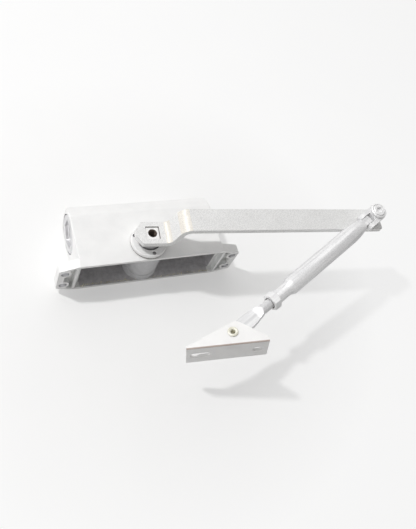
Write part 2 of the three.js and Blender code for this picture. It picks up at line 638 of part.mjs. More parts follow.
/** Die-cast body with its two ears. */
function housing() {
  const cuts = [recess(), earPocket(-1), earPocket(1), ...bodyDrillings()];
  return part('housing', 'casting', build([bodyForm(), flangeForm()], cuts));
}

// ---------------------------------------------------------------- end plugs

/** Threaded plug that closes one end of the bore, built outwards from its inner face at x = 0. */
function endPlug(name) {
  const grooveRadius = PLUG_RING_RADIUS - O_RING_SECTION - O_RING_PLAY;
  const grooveHalf = O_RING_SECTION + O_RING_PLAY;
  const body = turned([
    [0, 0],
    [PLUG_RADIUS, 0],
    [PLUG_RADIUS, O_RING_FROM_FACE - grooveHalf],
    [grooveRadius, O_RING_FROM_FACE - grooveHalf],
    [grooveRadius, O_RING_FROM_FACE + grooveHalf],
    [PLUG_RADIUS, O_RING_FROM_FACE + grooveHalf],
    [PLUG_RADIUS, PLUG_LENGTH - PLUG_CHAMFER],
    [PLUG_RADIUS - PLUG_CHAMFER, PLUG_LENGTH],
    [0, PLUG_LENGTH],
  ], 'alongX');
  const socket = extrude(
    polygonShape(PLUG_SOCKET, 6, PLUG_SOCKET_TURN),
    'alongX',
    PLUG_LENGTH - PLUG_SOCKET_DEPTH,
    PLUG_LENGTH + CUT_OVERRUN,
  );
  return part(name, 'casting', build([body], [socket]));
}

/** One end of the bore: its plug and the plug's O-ring. */
function boreEnd(side) {
  const label = side < 0 ? 'left' : 'right';
  const end = new THREE.Group();
  const seal = roundRing(PLUG_RING_RADIUS, O_RING_SECTION, 'alongX', O_RING_FROM_FACE);
  end.add(endPlug(`end_plug_${label}`), part(`plug_seal_${label}`, 'rubber', seal));
  end.position.set(side < 0 ? PLUG_INNER_LEFT : PLUG_INNER_RIGHT, BORE_Y, 0);
  if (side < 0) end.rotation.z = Math.PI;
  return end;
}

// ---------------------------------------------------------------- pinion

/** Half the angle that a pinion tooth takes up at a radius. */
function toothHalfAngle(radius) {
  const involute = (angle) => Math.tan(angle) - angle;
  const baseRadius = PITCH_RADIUS * Math.cos(PRESSURE_ANGLE);
  const atPitch = (RACK_PITCH - BACKLASH) / 4 / PITCH_RADIUS;
  const pressure = Math.acos(Math.min(1, baseRadius / radius));
  return atPitch + involute(PRESSURE_ANGLE) - involute(pressure);
}

/** Involute pinion outline with one tooth centred on +Y. */
function pinionShape() {
  const baseRadius = PITCH_RADIUS * Math.cos(PRESSURE_ANGLE);
  const rootRadius = PITCH_RADIUS - RACK_ADDENDUM - TIP_CLEARANCE;
  const flank = [rootRadius];
  for (let step = 0; step <= FLANK_STEPS; step += 1) {
    flank.push(baseRadius + ((PINION_TIP_RADIUS - baseRadius) * step) / FLANK_STEPS);
  }
  const points = [];
  const addPoint = (radius, angle) => points.push(
    new THREE.Vector2(radius * Math.cos(angle), radius * Math.sin(angle)),
  );
  for (let tooth = 0; tooth < PINION_TEETH; tooth += 1) {
    const centre = Math.PI / 2 + (2 * Math.PI * tooth) / PINION_TEETH;
    flank.forEach((radius) => addPoint(radius, centre - toothHalfAngle(Math.max(radius, baseRadius))));
    flank.toReversed()
      .forEach((radius) => addPoint(radius, centre + toothHalfAngle(Math.max(radius, baseRadius))));
  }
  return new THREE.Shape(points);
}

/** Spindle: journals, pinion teeth, the square that carries the arm, and its tapped hole. */
function pinionShaft() {
  const edge = PINION_CHAMFER;
  const corner = PINION_SQUARE_CORNER;
  const bottom = CAP_FLOOR_TOP + PINION_END_GAP;
  const squareTop = ARM_HUB_TOP - SEAT_GAP;
  const half = PINION_SQUARE / 2;
  const journal = turned([
    [0, bottom],
    [JOURNAL_RADIUS - edge, bottom],
    [JOURNAL_RADIUS, bottom + edge],
    [JOURNAL_RADIUS, JOURNAL_TOP - edge],
    [JOURNAL_RADIUS - edge, JOURNAL_TOP],
    [0, JOURNAL_TOP],
  ], 'alongZ', MEDIUM);
  const teeth = extrude(pinionShape(), 'alongZ', -GEAR_FACE / 2, GEAR_FACE / 2);
  const square = extrude(
    roundedShape([
      [-half, -half, corner],
      [half, -half, corner],
      [half, half, corner],
      [-half, half, corner],
    ]),
    'alongZ',
    JOURNAL_TOP - CUT_OVERRUN,
    squareTop,
    ARC_SMALL,
  ).rotateZ(ARM_HEADING);
  const hole = turned([
    [0, squareTop - ARM_SCREW_HOLE_DEPTH],
    [ARM_SCREW_HOLE_RADIUS, squareTop - ARM_SCREW_HOLE_DEPTH],
    [ARM_SCREW_HOLE_RADIUS, squareTop - edge],
    [ARM_SCREW_HOLE_RADIUS + edge, squareTop],
    [ARM_SCREW_HOLE_RADIUS + edge, squareTop + CUT_OVERRUN],
    [0, squareTop + CUT_OVERRUN],
  ], 'alongZ', COARSE);
  return part('pinion_shaft', 'steel', build([journal, teeth, square], [hole]));
}

// ---------------------------------------------------------------- glands and bearings

/** Tools for the blind holes that a pin spanner grips, on a circle round the pinion's axis. */
function spannerHoles(radius, circle, from, to) {
  const holes = [];
  for (let index = 0; index < SPANNER_HOLE_COUNT; index += 1) {
    const angle = SPANNER_HOLE_START + (2 * Math.PI * index) / SPANNER_HOLE_COUNT;
    const hole = cylinder(radius, 'alongZ', from, to, TINY);
    holes.push(hole.translate(circle * Math.cos(angle), circle * Math.sin(angle), 0));
  }
  return holes;
}

/** Threaded retaining ring over the pinion, with seats for the bearing and the shaft seal. */
function upperGland() {
  const lipBottom = GLAND_TOP - GLAND_LIP_HEIGHT;
  const bearingTop = GLAND_BOTTOM + BEARING_LENGTH + SEAT_GAP;
  const sealSeat = SEAL_OUTER_RADIUS + SEAT_GAP;
  const body = turned([
    [BEARING_SEAT_RADIUS, GLAND_BOTTOM],
    [GLAND_SKIRT_RADIUS - GLAND_CHAMFER, GLAND_BOTTOM],
    [GLAND_SKIRT_RADIUS, GLAND_BOTTOM + GLAND_CHAMFER],
    [GLAND_SKIRT_RADIUS, GLAND_SEAT],
    [GLAND_FLANGE_RADIUS, GLAND_SEAT],
    [GLAND_FLANGE_RADIUS, GLAND_TOP - GLAND_CHAMFER],
    [GLAND_FLANGE_RADIUS - GLAND_CHAMFER, GLAND_TOP],
    [GLAND_LIP_RADIUS, GLAND_TOP],
    [GLAND_LIP_RADIUS, lipBottom],
    [sealSeat, lipBottom],
    [sealSeat, bearingTop],
    [BEARING_SEAT_RADIUS, bearingTop],
  ], 'alongZ');
  const holes = spannerHoles(
    SPANNER_HOLE_RADIUS,
    SPANNER_HOLE_CIRCLE,
    GLAND_TOP - SPANNER_HOLE_DEPTH,
    GLAND_TOP + CUT_OVERRUN,
  );
  return part('gland_upper', 'casting', build([body], holes));
}

/** Blind cap flush with the body's underside, with the lower bearing's seat. */
function lowerCap() {
  const underside = -BODY_HALF + SEAT_GAP;
  const body = turned([
    [0, underside],
    [GLAND_SKIRT_RADIUS - GLAND_CHAMFER, underside],
    [GLAND_SKIRT_RADIUS, underside + GLAND_CHAMFER],
    [GLAND_SKIRT_RADIUS, -GLAND_BOTTOM - GLAND_CHAMFER],
    [GLAND_SKIRT_RADIUS - GLAND_CHAMFER, -GLAND_BOTTOM],
    [BEARING_SEAT_RADIUS, -GLAND_BOTTOM],
    [BEARING_SEAT_RADIUS, CAP_FLOOR_TOP],
    [0, CAP_FLOOR_TOP],
  ], 'alongZ');
  const holes = spannerHoles(
    LOWER_HOLE_RADIUS,
    LOWER_HOLE_CIRCLE,
    underside - CUT_OVERRUN,
    underside + LOWER_HOLE_DEPTH,
  );
  return part('cap_lower', 'casting', build([body], holes));
}

/** Bearings, washers and seal on the pinion's journals. */
function journalFittings() {
  const bearingTop = GLAND_BOTTOM + BEARING_LENGTH;
  const washerLow = GEAR_FACE / 2 + SEAT_GAP;
  const washerHigh = washerLow + THRUST_WASHER;
  const sealTop = GLAND_TOP - GLAND_LIP_HEIGHT - SEAT_GAP;
  const sleeve = (from, to) => ring(BEARING_BORE_RADIUS, BEARING_OUTER_RADIUS, 'alongZ', from, to, MEDIUM);
  const seal = turned([
    [BEARING_BORE_RADIUS, sealTop - SEAL_HEIGHT],
    [SEAL_OUTER_RADIUS, sealTop - SEAL_HEIGHT],
    [SEAL_OUTER_RADIUS, sealTop],
    [BEARING_BORE_RADIUS + 1, sealTop],
    [BEARING_BORE_RADIUS, sealTop - 1],
  ], 'alongZ', MEDIUM);
  return [
    part('bearing_upper', 'bronze', sleeve(GLAND_BOTTOM, bearingTop)),
    part('bearing_lower', 'bronze', sleeve(-bearingTop, -GLAND_BOTTOM)),
    part('thrust_washer_upper', 'steel', sleeve(washerLow, washerHigh)),
    part('thrust_washer_lower', 'steel', sleeve(-washerHigh, -washerLow)),
    part('shaft_seal', 'rubber', seal),
  ];
}

// ---------------------------------------------------------------- piston and spring

/** Half width of a rack tooth space at a distance from the door. */
function rackSpaceHalf(y) {
  return (RACK_PITCH + BACKLASH) / 4 + (RACK_PITCH_Y - y) * Math.tan(PRESSURE_ANGLE);
}

/** Outline that mills the rack's flat and its tooth spaces out of the piston. */
function rackTool() {
  const outside = BORE_Y - PISTON_RADIUS - CUT_OVERRUN;
  const points = [
    new THREE.Vector2(RACK_FLAT_LEFT, outside),
    new THREE.Vector2(RACK_FLAT_LEFT, RACK_TIP_Y),
  ];
  for (let space = -RACK_SPACES_LEFT; space <= RACK_SPACES_RIGHT; space += 1) {
    const centre = space * RACK_PITCH;
    points.push(
      new THREE.Vector2(centre - rackSpaceHalf(RACK_TIP_Y), RACK_TIP_Y),
      new THREE.Vector2(centre - rackSpaceHalf(RACK_ROOT_Y), RACK_ROOT_Y),
      new THREE.Vector2(centre + rackSpaceHalf(RACK_ROOT_Y), RACK_ROOT_Y),
      new THREE.Vector2(centre + rackSpaceHalf(RACK_TIP_Y), RACK_TIP_Y),
    );
  }
  points.push(new THREE.Vector2(RACK_FLAT_RIGHT, RACK_TIP_Y), new THREE.Vector2(RACK_FLAT_RIGHT, outside));
  return extrude(new THREE.Shape(points), 'alongZ', -PISTON_RADIUS, PISTON_RADIUS);
}

/** Hollow piston: rack along its side, spring pocket on the left, check-valve chamber in its head. */
function piston() {
  const ringEnd = PISTON_RIGHT - PISTON_RING_FROM_END;
  const ringStart = ringEnd - PISTON_RING_WIDTH;
  const ringFloor = PISTON_RADIUS - PISTON_RING_DEPTH;
  const chamberEnd = SPRING_POCKET_END + CHECK_CHAMBER_DEPTH;
  const body = turned([
    [SPRING_POCKET_RADIUS, PISTON_LEFT],
    [PISTON_RADIUS, PISTON_LEFT],
    [PISTON_RADIUS, ringStart],
    [ringFloor, ringStart],
    [ringFloor, ringEnd],
    [PISTON_RADIUS, ringEnd],
    [PISTON_RADIUS, PISTON_RIGHT],
    [CHECK_PORT_RADIUS, PISTON_RIGHT],
    [CHECK_PORT_RADIUS, chamberEnd + CHECK_CHAMBER_RADIUS - CHECK_PORT_RADIUS],
    [CHECK_CHAMBER_RADIUS, chamberEnd],
    [CHECK_CHAMBER_RADIUS, SPRING_POCKET_END],
    [SPRING_POCKET_RADIUS, SPRING_POCKET_END],
  ], 'alongX').translate(0, BORE_Y, 0);
  return part('piston', 'steel', build([body], [rackTool()]));
}

/** Piston ring, check ball and the clip that keeps the ball in its chamber. */
function pistonFittings() {
  const play = PISTON_RING_PLAY;
  const ringEnd = PISTON_RIGHT - PISTON_RING_FROM_END - play;
  const ringStart = ringEnd - PISTON_RING_WIDTH + 2 * play;
  const chamberEnd = SPRING_POCKET_END + CHECK_CHAMBER_DEPTH;
  const ballX = chamberEnd + CHECK_CHAMBER_RADIUS - (CHECK_BALL_RADIUS + SEAT_GAP) * Math.SQRT2;
  const clipEnd = ballX - CHECK_BALL_RADIUS - SEAT_GAP;
  const ball = new THREE.SphereGeometry(CHECK_BALL_RADIUS, COARSE, COARSE / 2);
  const pistonRing = ring(
    PISTON_RADIUS - PISTON_RING_DEPTH + play,
    BORE_RADIUS - play,
    'alongX',
    ringStart,
    ringEnd,
  );
  const clip = ring(
    CHECK_PORT_RADIUS,
    CHECK_CHAMBER_RADIUS - play,
    'alongX',
    clipEnd - CHECK_CLIP_THICKNESS,
    clipEnd,
    COARSE,
  );
  return [
    part('piston_ring', 'bronze', pistonRing.translate(0, BORE_Y, 0)),
    part('check_ball', 'steel', ball.translate(ballX, BORE_Y, 0)),
    part('check_clip', 'springSteel', clip.translate(0, BORE_Y, 0)),
  ];
}

/** Helix along X whose first and last turns lie close together. */
class CoilCurve extends THREE.Curve {
  constructor(radius, from, to, turns) {
    super();
    Object.assign(this, { radius, from, to, turns });
  }

  getPoint(share, target = new THREE.Vector3()) {
    const angle = 2 * Math.PI * this.turns * share;
    const easing = share - (SPRING_END_CLOSING * Math.sin(2 * Math.PI * share)) / (2 * Math.PI);
    return target.set(
      this.from + (this.to - this.from) * easing,
      this.radius * Math.cos(angle),
      this.radius * Math.sin(angle),
    );
  }
}

/** Compression spring between the left plug and the bottom of the piston's pocket. */
function mainSpring() {
  const wire = SPRING_WIRE / 2;
  const from = PLUG_INNER_LEFT + SEAT_GAP + wire;
  const to = SPRING_POCKET_END - SEAT_GAP - wire;
  const radius = SPRING_POCKET_RADIUS - SPRING_SIDE_GAP - wire;
  const path = new CoilCurve(radius, from, to, SPRING_TURNS);
  const section = new THREE.Shape().absarc(0, 0, wire, 0, 2 * Math.PI);
  const geometry = new THREE.ExtrudeGeometry(section, {
    extrudePath: path,
    steps: SPRING_TURNS * SPRING_STEPS_PER_TURN,
    curveSegments: 3,
    bevelEnabled: false,
  });
  return part('main_spring', 'springSteel', geometry.translate(0, BORE_Y, 0));
}

// ---------------------------------------------------------------- speed valves

/** Slotted regulating screw with a needle point, and its O-ring. */
function speedValve(label, z) {
  const radius = VALVE_BORE_RADIUS - SEAT_GAP;
  const neckRadius = VALVE_BORE_RADIUS - 2 * (VALVE_RING_SECTION + O_RING_PLAY);
  const outer = BODY_RIGHT - VALVE_SCREW_INSET;
  const inner = outer - VALVE_SCREW_LENGTH;
  const neckEnd = outer - VALVE_HEAD_LENGTH;
  const neckStart = neckEnd - 2 * (VALVE_RING_SECTION + O_RING_PLAY);
  const body = turned([
    [0, inner],
    [VALVE_RING_SECTION, inner],
    [radius, inner + VALVE_HEAD_LENGTH],
    [radius, neckStart],
    [neckRadius, neckStart],
    [neckRadius, neckEnd],
    [radius, neckEnd],
    [radius, outer],
    [0, outer],
  ], 'alongX', COARSE);
  const slot = block(
    [outer - VALVE_SLOT_DEPTH, -VALVE_BORE_RADIUS, -VALVE_SLOT_WIDTH / 2],
    [outer + CUT_OVERRUN, VALVE_BORE_RADIUS, VALVE_SLOT_WIDTH / 2],
  );
  const seal = roundRing(
    neckRadius + O_RING_PLAY + VALVE_RING_SECTION,
    VALVE_RING_SECTION,
    'alongX',
    (neckStart + neckEnd) / 2,
    COARSE,
  );
  const valve = new THREE.Group();
  valve.add(
    part(`valve_screw_${label}`, 'zinc', build([body], [slot])),
    part(`valve_seal_${label}`, 'rubber', seal),
  );
  valve.position.set(0, VALVE_Y, z);
  return valve;
}

// ---------------------------------------------------------------- main arm

/** Side outline of the arm's strip: hub plate, joggle and bar, as [z, x, bend radius]. */
function armSide() {
  const end = ARM_LENGTH + ARM_BEYOND_ELBOW;
  const slope = Math.atan2(ARM_BAR_TOP - ARM_HUB_TOP, ARM_UPPER_BEND - ARM_LOWER_BEND);
  const lowerShift = ARM_HUB_THICKNESS * Math.tan(slope / 2);
  const upperShift = ARM_BAR_THICKNESS * Math.tan(slope / 2);
  return roundedShape([
    [ARM_HUB_TOP, -ARM_HUB_LEFT],
    [ARM_HUB_TOP, ARM_LOWER_BEND, ARM_BEND_RADIUS],
    [ARM_BAR_TOP, ARM_UPPER_BEND, ARM_BEND_RADIUS + ARM_BAR_THICKNESS],
    [ARM_BAR_TOP, end],
    [BAR_BOTTOM, end],
    [BAR_BOTTOM, ARM_UPPER_BEND + upperShift, ARM_BEND_RADIUS],
    [ARM_HUB_BOTTOM, ARM_LOWER_BEND + lowerShift, ARM_BEND_RADIUS + ARM_HUB_THICKNESS],
    [ARM_HUB_BOTTOM, -ARM_HUB_LEFT],
  ]);
}

/** Plan outline of the arm: cut-cornered hub running into a bar of constant width. */
function armPlan() {
  const end = ARM_LENGTH + ARM_BEYOND_ELBOW;
  const side = [
    [-ARM_HUB_LEFT, ARM_HUB_NOSE_WIDTH / 2, ARM_HUB_CORNER_RADIUS],
    [-ARM_HUB_CORNER, ARM_BAR_WIDTH / 2, ARM_HUB_CORNER_RADIUS],
    [end, ARM_BAR_WIDTH / 2, ARM_END_RADIUS],
  ];
  const otherSide = side.toReversed().map(([x, y, radius]) => [x, -y, radius]);
  return roundedShape([...side, ...otherSide]);
}

/** Steel arm on the pinion's square, with the hole for the elbow screw. */
function mainArm() {
  const strip = common([
    extrude(armSide(), 'alongY', -ARM_BAR_WIDTH, ARM_BAR_WIDTH, ARC_BEND),
    extrude(armPlan(), 'alongZ', 0, ARM_BAR_TOP + CUT_OVERRUN, ARC_CORNER),
  ]);
  const half = PINION_SQUARE / 2 + ARM_SQUARE_GAP;
  const square = block([-half, -half, 0], [half, half, ARM_HUB_TOP + CUT_OVERRUN]);
  const elbowHole = cylinder(
    ELBOW_SCREW_RADIUS + SEAT_GAP,
    'alongZ',
    BAR_BOTTOM - CUT_OVERRUN,
    ARM_BAR_TOP + CUT_OVERRUN,
    COARSE,
  ).translate(ARM_LENGTH, 0, 0);
  return part('main_arm', 'paintedSteel', build([strip], [square, elbowHole]));
}

/** Screw that the elbow turns on, fixed in the arm's end. */
function elbowScrew() {
  const headBottom = ELBOW_HEAD_TOP - ELBOW_HEAD_HEIGHT;
  const edge = ELBOW_SCREW_CHAMFER;
  const body = turned([
    [0, BAR_BOTTOM - ELBOW_SCREW_BELOW_BAR],
    [ELBOW_SCREW_RADIUS - edge, BAR_BOTTOM - ELBOW_SCREW_BELOW_BAR],
    [ELBOW_SCREW_RADIUS, BAR_BOTTOM - ELBOW_SCREW_BELOW_BAR + edge],
    [ELBOW_SCREW_RADIUS, headBottom],
    [ELBOW_HEAD_RADIUS, headBottom],
    [ELBOW_HEAD_RADIUS, ELBOW_HEAD_TOP - edge],
    [ELBOW_HEAD_RADIUS - edge, ELBOW_HEAD_TOP],
    [0, ELBOW_HEAD_TOP],
  ], 'alongZ', COARSE);
  const key = extrude(
    polygonShape(ELBOW_KEY, 6),
    'alongZ',
    ELBOW_HEAD_TOP - ELBOW_KEY_DEPTH,
    ELBOW_HEAD_TOP + CUT_OVERRUN,
  );
  return part('elbow_screw', 'zinc', build([body], [key]));
}

/** Thick washer recessed for the screw's head. */
function elbowWasher() {
  const bottom = KNUCKLE_TOP + SEAT_GAP;
  const top = ELBOW_WASHER_TOP;
  const recessFloor = ELBOW_HEAD_TOP - ELBOW_HEAD_HEIGHT - SEAT_GAP;
  const recessRadius = ELBOW_HEAD_RADIUS + SEAT_GAP;
  const profile = [
    [ELBOW_SCREW_RADIUS + SEAT_GAP, bottom],
    [ELBOW_WASHER_RADIUS - ELBOW_WASHER_CHAMFER, bottom],
    [ELBOW_WASHER_RADIUS, bottom + ELBOW_WASHER_CHAMFER],
    [ELBOW_WASHER_RADIUS, top - ELBOW_WASHER_CHAMFER],
    [ELBOW_WASHER_RADIUS - ELBOW_WASHER_CHAMFER, top],
    [recessRadius, top],
    [recessRadius, recessFloor],
    [ELBOW_SCREW_RADIUS + SEAT_GAP, recessFloor],
  ];
  return part('elbow_washer', 'zinc', turned(profile, 'alongZ', MEDIUM));
}

/** Arm with its elbow screw and washer, in the arm's own frame. */
function armAssembly() {
  const arm = new THREE.Group();
  const elbow = new THREE.Group();
  elbow.add(elbowScrew(), elbowWasher());
  elbow.position.x = ARM_LENGTH;
  arm.add(mainArm(), elbow);
  arm.position.y = PINION_Y;
  arm.rotation.z = ARM_HEADING;
  return arm;
}

// ---------------------------------------------------------------- elbow knuckle and forearm

/** Side outline with a round end at (0, x), reaching to `root` along x, as a shape in (z, x). */
function roundEndedSide(radius, x, z, root) {
  const shape = new THREE.Shape();
  shape.moveTo(z - radius, root);
  shape.lineTo(z - radius, x);
  const start = x > root ? Math.PI : -Math.PI;
  shape.absarc(z, x, radius, start, 0, x > root);
  shape.lineTo(z + radius, root);
  shape.closePath();
  return shape;
}

/** Swivelling knuckle: a barrel round the elbow screw with two cheeks that hold the cross pin. */
function knuckle() {
  const half = KNUCKLE_WIDTH / 2;
  const slotHalf = TONGUE_WIDTH / 2 + RUNNING_GAP;
  const barrel = cylinder(KNUCKLE_RADIUS, 'alongZ', KNUCKLE_BOTTOM, KNUCKLE_TOP, MEDIUM);
  const side = roundEndedSide(CHEEK_ROUND_RADIUS, TILT_PIN_OFFSET, TILT_PIN_Z, 0);
  const cheeks = extrude(side, 'alongY', -half, half, ARC_END);
  const slot = block(
    [KNUCKLE_RADIUS, -slotHalf, KNUCKLE_BOTTOM - CUT_OVERRUN],
    [TILT_PIN_OFFSET + CHEEK_ROUND_RADIUS + CUT_OVERRUN, slotHalf, KNUCKLE_TOP + CUT_OVERRUN],
  );
  const bore = cylinder(
    ELBOW_SCREW_RADIUS + RUNNING_GAP,
    'alongZ',
    KNUCKLE_BOTTOM - CUT_OVERRUN,
    KNUCKLE_TOP + CUT_OVERRUN,
    COARSE,
  );
  const pinHole = cylinder(
    TILT_PIN_RADIUS + SEAT_GAP,
    'alongY',
    -half - CUT_OVERRUN,
    half + CUT_OVERRUN,
    COARSE,
  ).translate(TILT_PIN_OFFSET, 0, TILT_PIN_Z);
  return part('elbow_knuckle', 'zinc', build([barrel, cheeks], [slot, bore, pinHole]));
}

/** Cross pin that the forearm tilts on. */
function tiltPin() {
  const half = KNUCKLE_WIDTH / 2 + SEAT_GAP;
  const edge = TILT_PIN_CHAMFER;
  const pin = turned([
    [0, -half],
    [TILT_PIN_RADIUS - edge, -half],
    [TILT_PIN_RADIUS, -half + edge],
    [TILT_PIN_RADIUS, half - edge],
    [TILT_PIN_RADIUS - edge, half],
    [0, half],
  ], 'alongY', COARSE);
  return part('tilt_pin', 'steel', pin.translate(TILT_PIN_OFFSET, 0, TILT_PIN_Z));
}

/** Forearm tube: swollen middle, necks at both ends, tongue on the cross pin, threaded bore. */
function forearmTube() {
  const boreRadius = ROD_RADIUS + ROD_BORE_GAP;
  const boreStart = TUBE_END - TUBE_BORE_DEPTH;
  const neckStart = TUBE_END - TUBE_NECK_LENGTH;
  const swell = [];
  for (let step = 0; step <= SWELL_STEPS; step += 1) {
    const share = step / SWELL_STEPS;
    swell.push([
      TUBE_MOUTH_RADIUS + (TUBE_RADIUS - TUBE_MOUTH_RADIUS) * Math.sin((share * Math.PI) / 2),
      TUBE_START + TUBE_SWELL_LENGTH * share,
    ]);
  }
  const body = turned([
    [0, TUBE_START],
    ...swell,
    [TUBE_RADIUS, neckStart - TUBE_TAPER_LENGTH],
    [TUBE_NECK_RADIUS, neckStart],
    [TUBE_NECK_RADIUS, TUBE_END],
    [boreRadius, TUBE_END],
    [boreRadius, boreStart],
    [0, boreStart - boreRadius / 2],
  ], 'alongX', MEDIUM);
  const half = TONGUE_WIDTH / 2;
  const tongueSide = roundEndedSide(TONGUE_ROUND_RADIUS, 0, 0, TUBE_START + CUT_OVERRUN);
  const tongue = extrude(tongueSide, 'alongY', -half, half, ARC_END);
  const hole = cylinder(
    TILT_PIN_RADIUS + RUNNING_GAP,
    'alongY',
    -half - CUT_OVERRUN,
    half + CUT_OVERRUN,
    COARSE,
  );
  return part('forearm_tube', 'zinc', build([body, tongue], [hole]));
}

/** Hexagon nut with turned-off corners that locks the rod in the tube. */
function lockNut() {
  const from = LOCK_NUT_START;
  const to = LOCK_NUT_END;
  const corner = LOCK_NUT_FLATS / 2 / Math.cos(Math.PI / 6);
  const flat = LOCK_NUT_FLATS / 2;
  const cone = (corner - flat) * Math.tan(Math.PI / 6);
  const blank = turned([
    [0, from],
    [flat, from],
    [corner, from + cone],
    [corner, to - cone],
    [flat, to],
    [0, to],
  ], 'alongX', MEDIUM);
  const hexagon = extrude(polygonShape(LOCK_NUT_FLATS, 6), 'alongX', from - CUT_OVERRUN, to + CUT_OVERRUN);
  const bore = cylinder(ROD_RADIUS + ROD_BORE_GAP, 'alongX', from - CUT_OVERRUN, to + CUT_OVERRUN, COARSE);
  return part('lock_nut', 'zinc', build([common([blank, hexagon])], [bore]));
}

/** Plan outline of the rod's flattened end, as (x, y). */
function rodEndPlan() {
  const shape = new THREE.Shape();
  const full = ROD_EYE_AT - 2 * ROD_EYE_RADIUS;
  shape.moveTo(ROD_FLAT_START - CUT_OVERRUN, -ROD_RADIUS);
  shape.lineTo(ROD_FLAT_START, -ROD_RADIUS);
  shape.bezierCurveTo(ROD_FLAT_FULL, -ROD_RADIUS, ROD_FLAT_FULL, -ROD_EYE_RADIUS, full, -ROD_EYE_RADIUS);
  shape.lineTo(ROD_EYE_AT, -ROD_EYE_RADIUS);
  shape.absarc(ROD_EYE_AT, 0, ROD_EYE_RADIUS, -Math.PI / 2, Math.PI / 2);
  shape.lineTo(full, ROD_EYE_RADIUS);
  shape.bezierCurveTo(ROD_FLAT_FULL, ROD_EYE_RADIUS, ROD_FLAT_FULL, ROD_RADIUS, ROD_FLAT_START, ROD_RADIUS);
  shape.lineTo(ROD_FLAT_START - CUT_OVERRUN, ROD_RADIUS);
  shape.closePath();
  return shape;
}

/** Adjusting rod: round shank, forged flat and the eye for the bracket's rivet. */
function adjustingRod() {
  const half = ROD_EYE_THICKNESS / 2;
  const end = ROD_EYE_AT + ROD_EYE_RADIUS + CUT_OVERRUN;
  const start = ROD_FLAT_START - CUT_OVERRUN;
  const edge = ROD_CHAMFER;
  const shank = turned([
    [0, ROD_START],
    [ROD_RADIUS - edge, ROD_START],
    [ROD_RADIUS, ROD_START + edge],
    [ROD_RADIUS, ROD_FLAT_START],
    [0, ROD_FLAT_START],
  ], 'alongX', COARSE);
  const side = roundedShape([
    [-ROD_RADIUS, start],
    [-ROD_RADIUS, ROD_FLAT_START],
    [-half, ROD_FLAT_FULL, ROD_FLAT_ROUND],
    [-half, end],
    [half, end],
    [half, ROD_FLAT_FULL, ROD_FLAT_ROUND],
    [ROD_RADIUS, ROD_FLAT_START],
    [ROD_RADIUS, start],
  ]);
  const envelope = turned([
    [0, start],
    [ROD_RADIUS, start],
    [ROD_RADIUS, ROD_FLAT_START],
    [ROD_EYE_RADIUS + CUT_OVERRUN, ROD_FLAT_FULL],
    [ROD_EYE_RADIUS + CUT_OVERRUN, end],
    [0, end],
  ], 'alongX', COARSE);
  const flat = common([
    extrude(rodEndPlan(), 'alongZ', -ROD_RADIUS, ROD_RADIUS, ARC_EDGE),
    extrude(side, 'alongY', -ROD_EYE_RADIUS, ROD_EYE_RADIUS, ARC_CORNER),
    envelope,
  ]);
  const hole = cylinder(
    RIVET_RADIUS + RIVET_GAP,
    'alongZ',
    -half - CUT_OVERRUN,
    half + CUT_OVERRUN,
    COARSE,
  ).translate(ROD_EYE_AT, 0, 0);
  return part('adjusting_rod', 'zinc', build([shank, flat], [hole]));
}

// ---------------------------------------------------------------- frame bracket

/** Folded sheet bracket: triangular plate over the rod's eye and a flange with two slots. */
function frameBracket() {
  const flangeBottom = PLATE_TOP - BRACKET_FLANGE_HEIGHT;
  const plateBottom = PLATE_TOP - BRACKET_SHEET;
  const outerFace = FLANGE_OUTER_Y;
  const innerFace = FLANGE_INNER_Y;
  const beyondApex = BRACKET_APEX_Y + CUT_OVERRUN;
  const section = roundedShape([
    [outerFace, flangeBottom],
    [outerFace, PLATE_TOP, BRACKET_BEND_RADIUS],
    [beyondApex, PLATE_TOP],
    [beyondApex, plateBottom],
    [innerFace, plateBottom, BRACKET_BEND_RADIUS / 2],
    [innerFace, flangeBottom],
  ]);
  const plan = roundedShape([
    [-BRACKET_LEFT, outerFace - CUT_OVERRUN],
    [BRACKET_RIGHT, outerFace - CUT_OVERRUN],
    [BRACKET_RIGHT, outerFace + BRACKET_RIGHT_EDGE, BRACKET_CORNER_RADIUS],
    [BRACKET_APEX_X, BRACKET_APEX_Y, BRACKET_APEX_RADIUS],
    [-BRACKET_LEFT, outerFace + BRACKET_LEFT_EDGE, BRACKET_CORNER_RADIUS],
  ]);
  const sheet = common([
    extrude(section, 'alongX', -BRACKET_LEFT, BRACKET_RIGHT, ARC_CORNER),
    extrude(plan, 'alongZ', flangeBottom - CUT_OVERRUN, PLATE_TOP + CUT_OVERRUN, ARC_WIDE),
  ]);
  const slot = (centre, length) => extrude(
    slotShape(centre, flangeBottom + SLOT_FROM_FLANGE_EDGE, length, SLOT_WIDTH),
    'alongZ',
    -innerFace - CUT_OVERRUN,
    -outerFace + CUT_OVERRUN,
    ARC_END,
  ).rotateX(Math.PI / 2);
  const hole = cylinder(
    RIVET_RADIUS + RIVET_GAP,
    'alongZ',
    plateBottom - CUT_OVERRUN,
    PLATE_TOP + CUT_OVERRUN,
    COARSE,
  );
  const longCentre = -BRACKET_LEFT + LONG_SLOT_FROM_END + LONG_SLOT_LENGTH / 2;
  const shortCentre = BRACKET_RIGHT - SHORT_SLOT_FROM_END - SHORT_SLOT_LENGTH / 2;
  const cuts = [slot(longCentre, LONG_SLOT_LENGTH), slot(shortCentre, SHORT_SLOT_LENGTH), hole];
  return part('frame_bracket', 'paintedSteel', build([sheet], cuts));
}

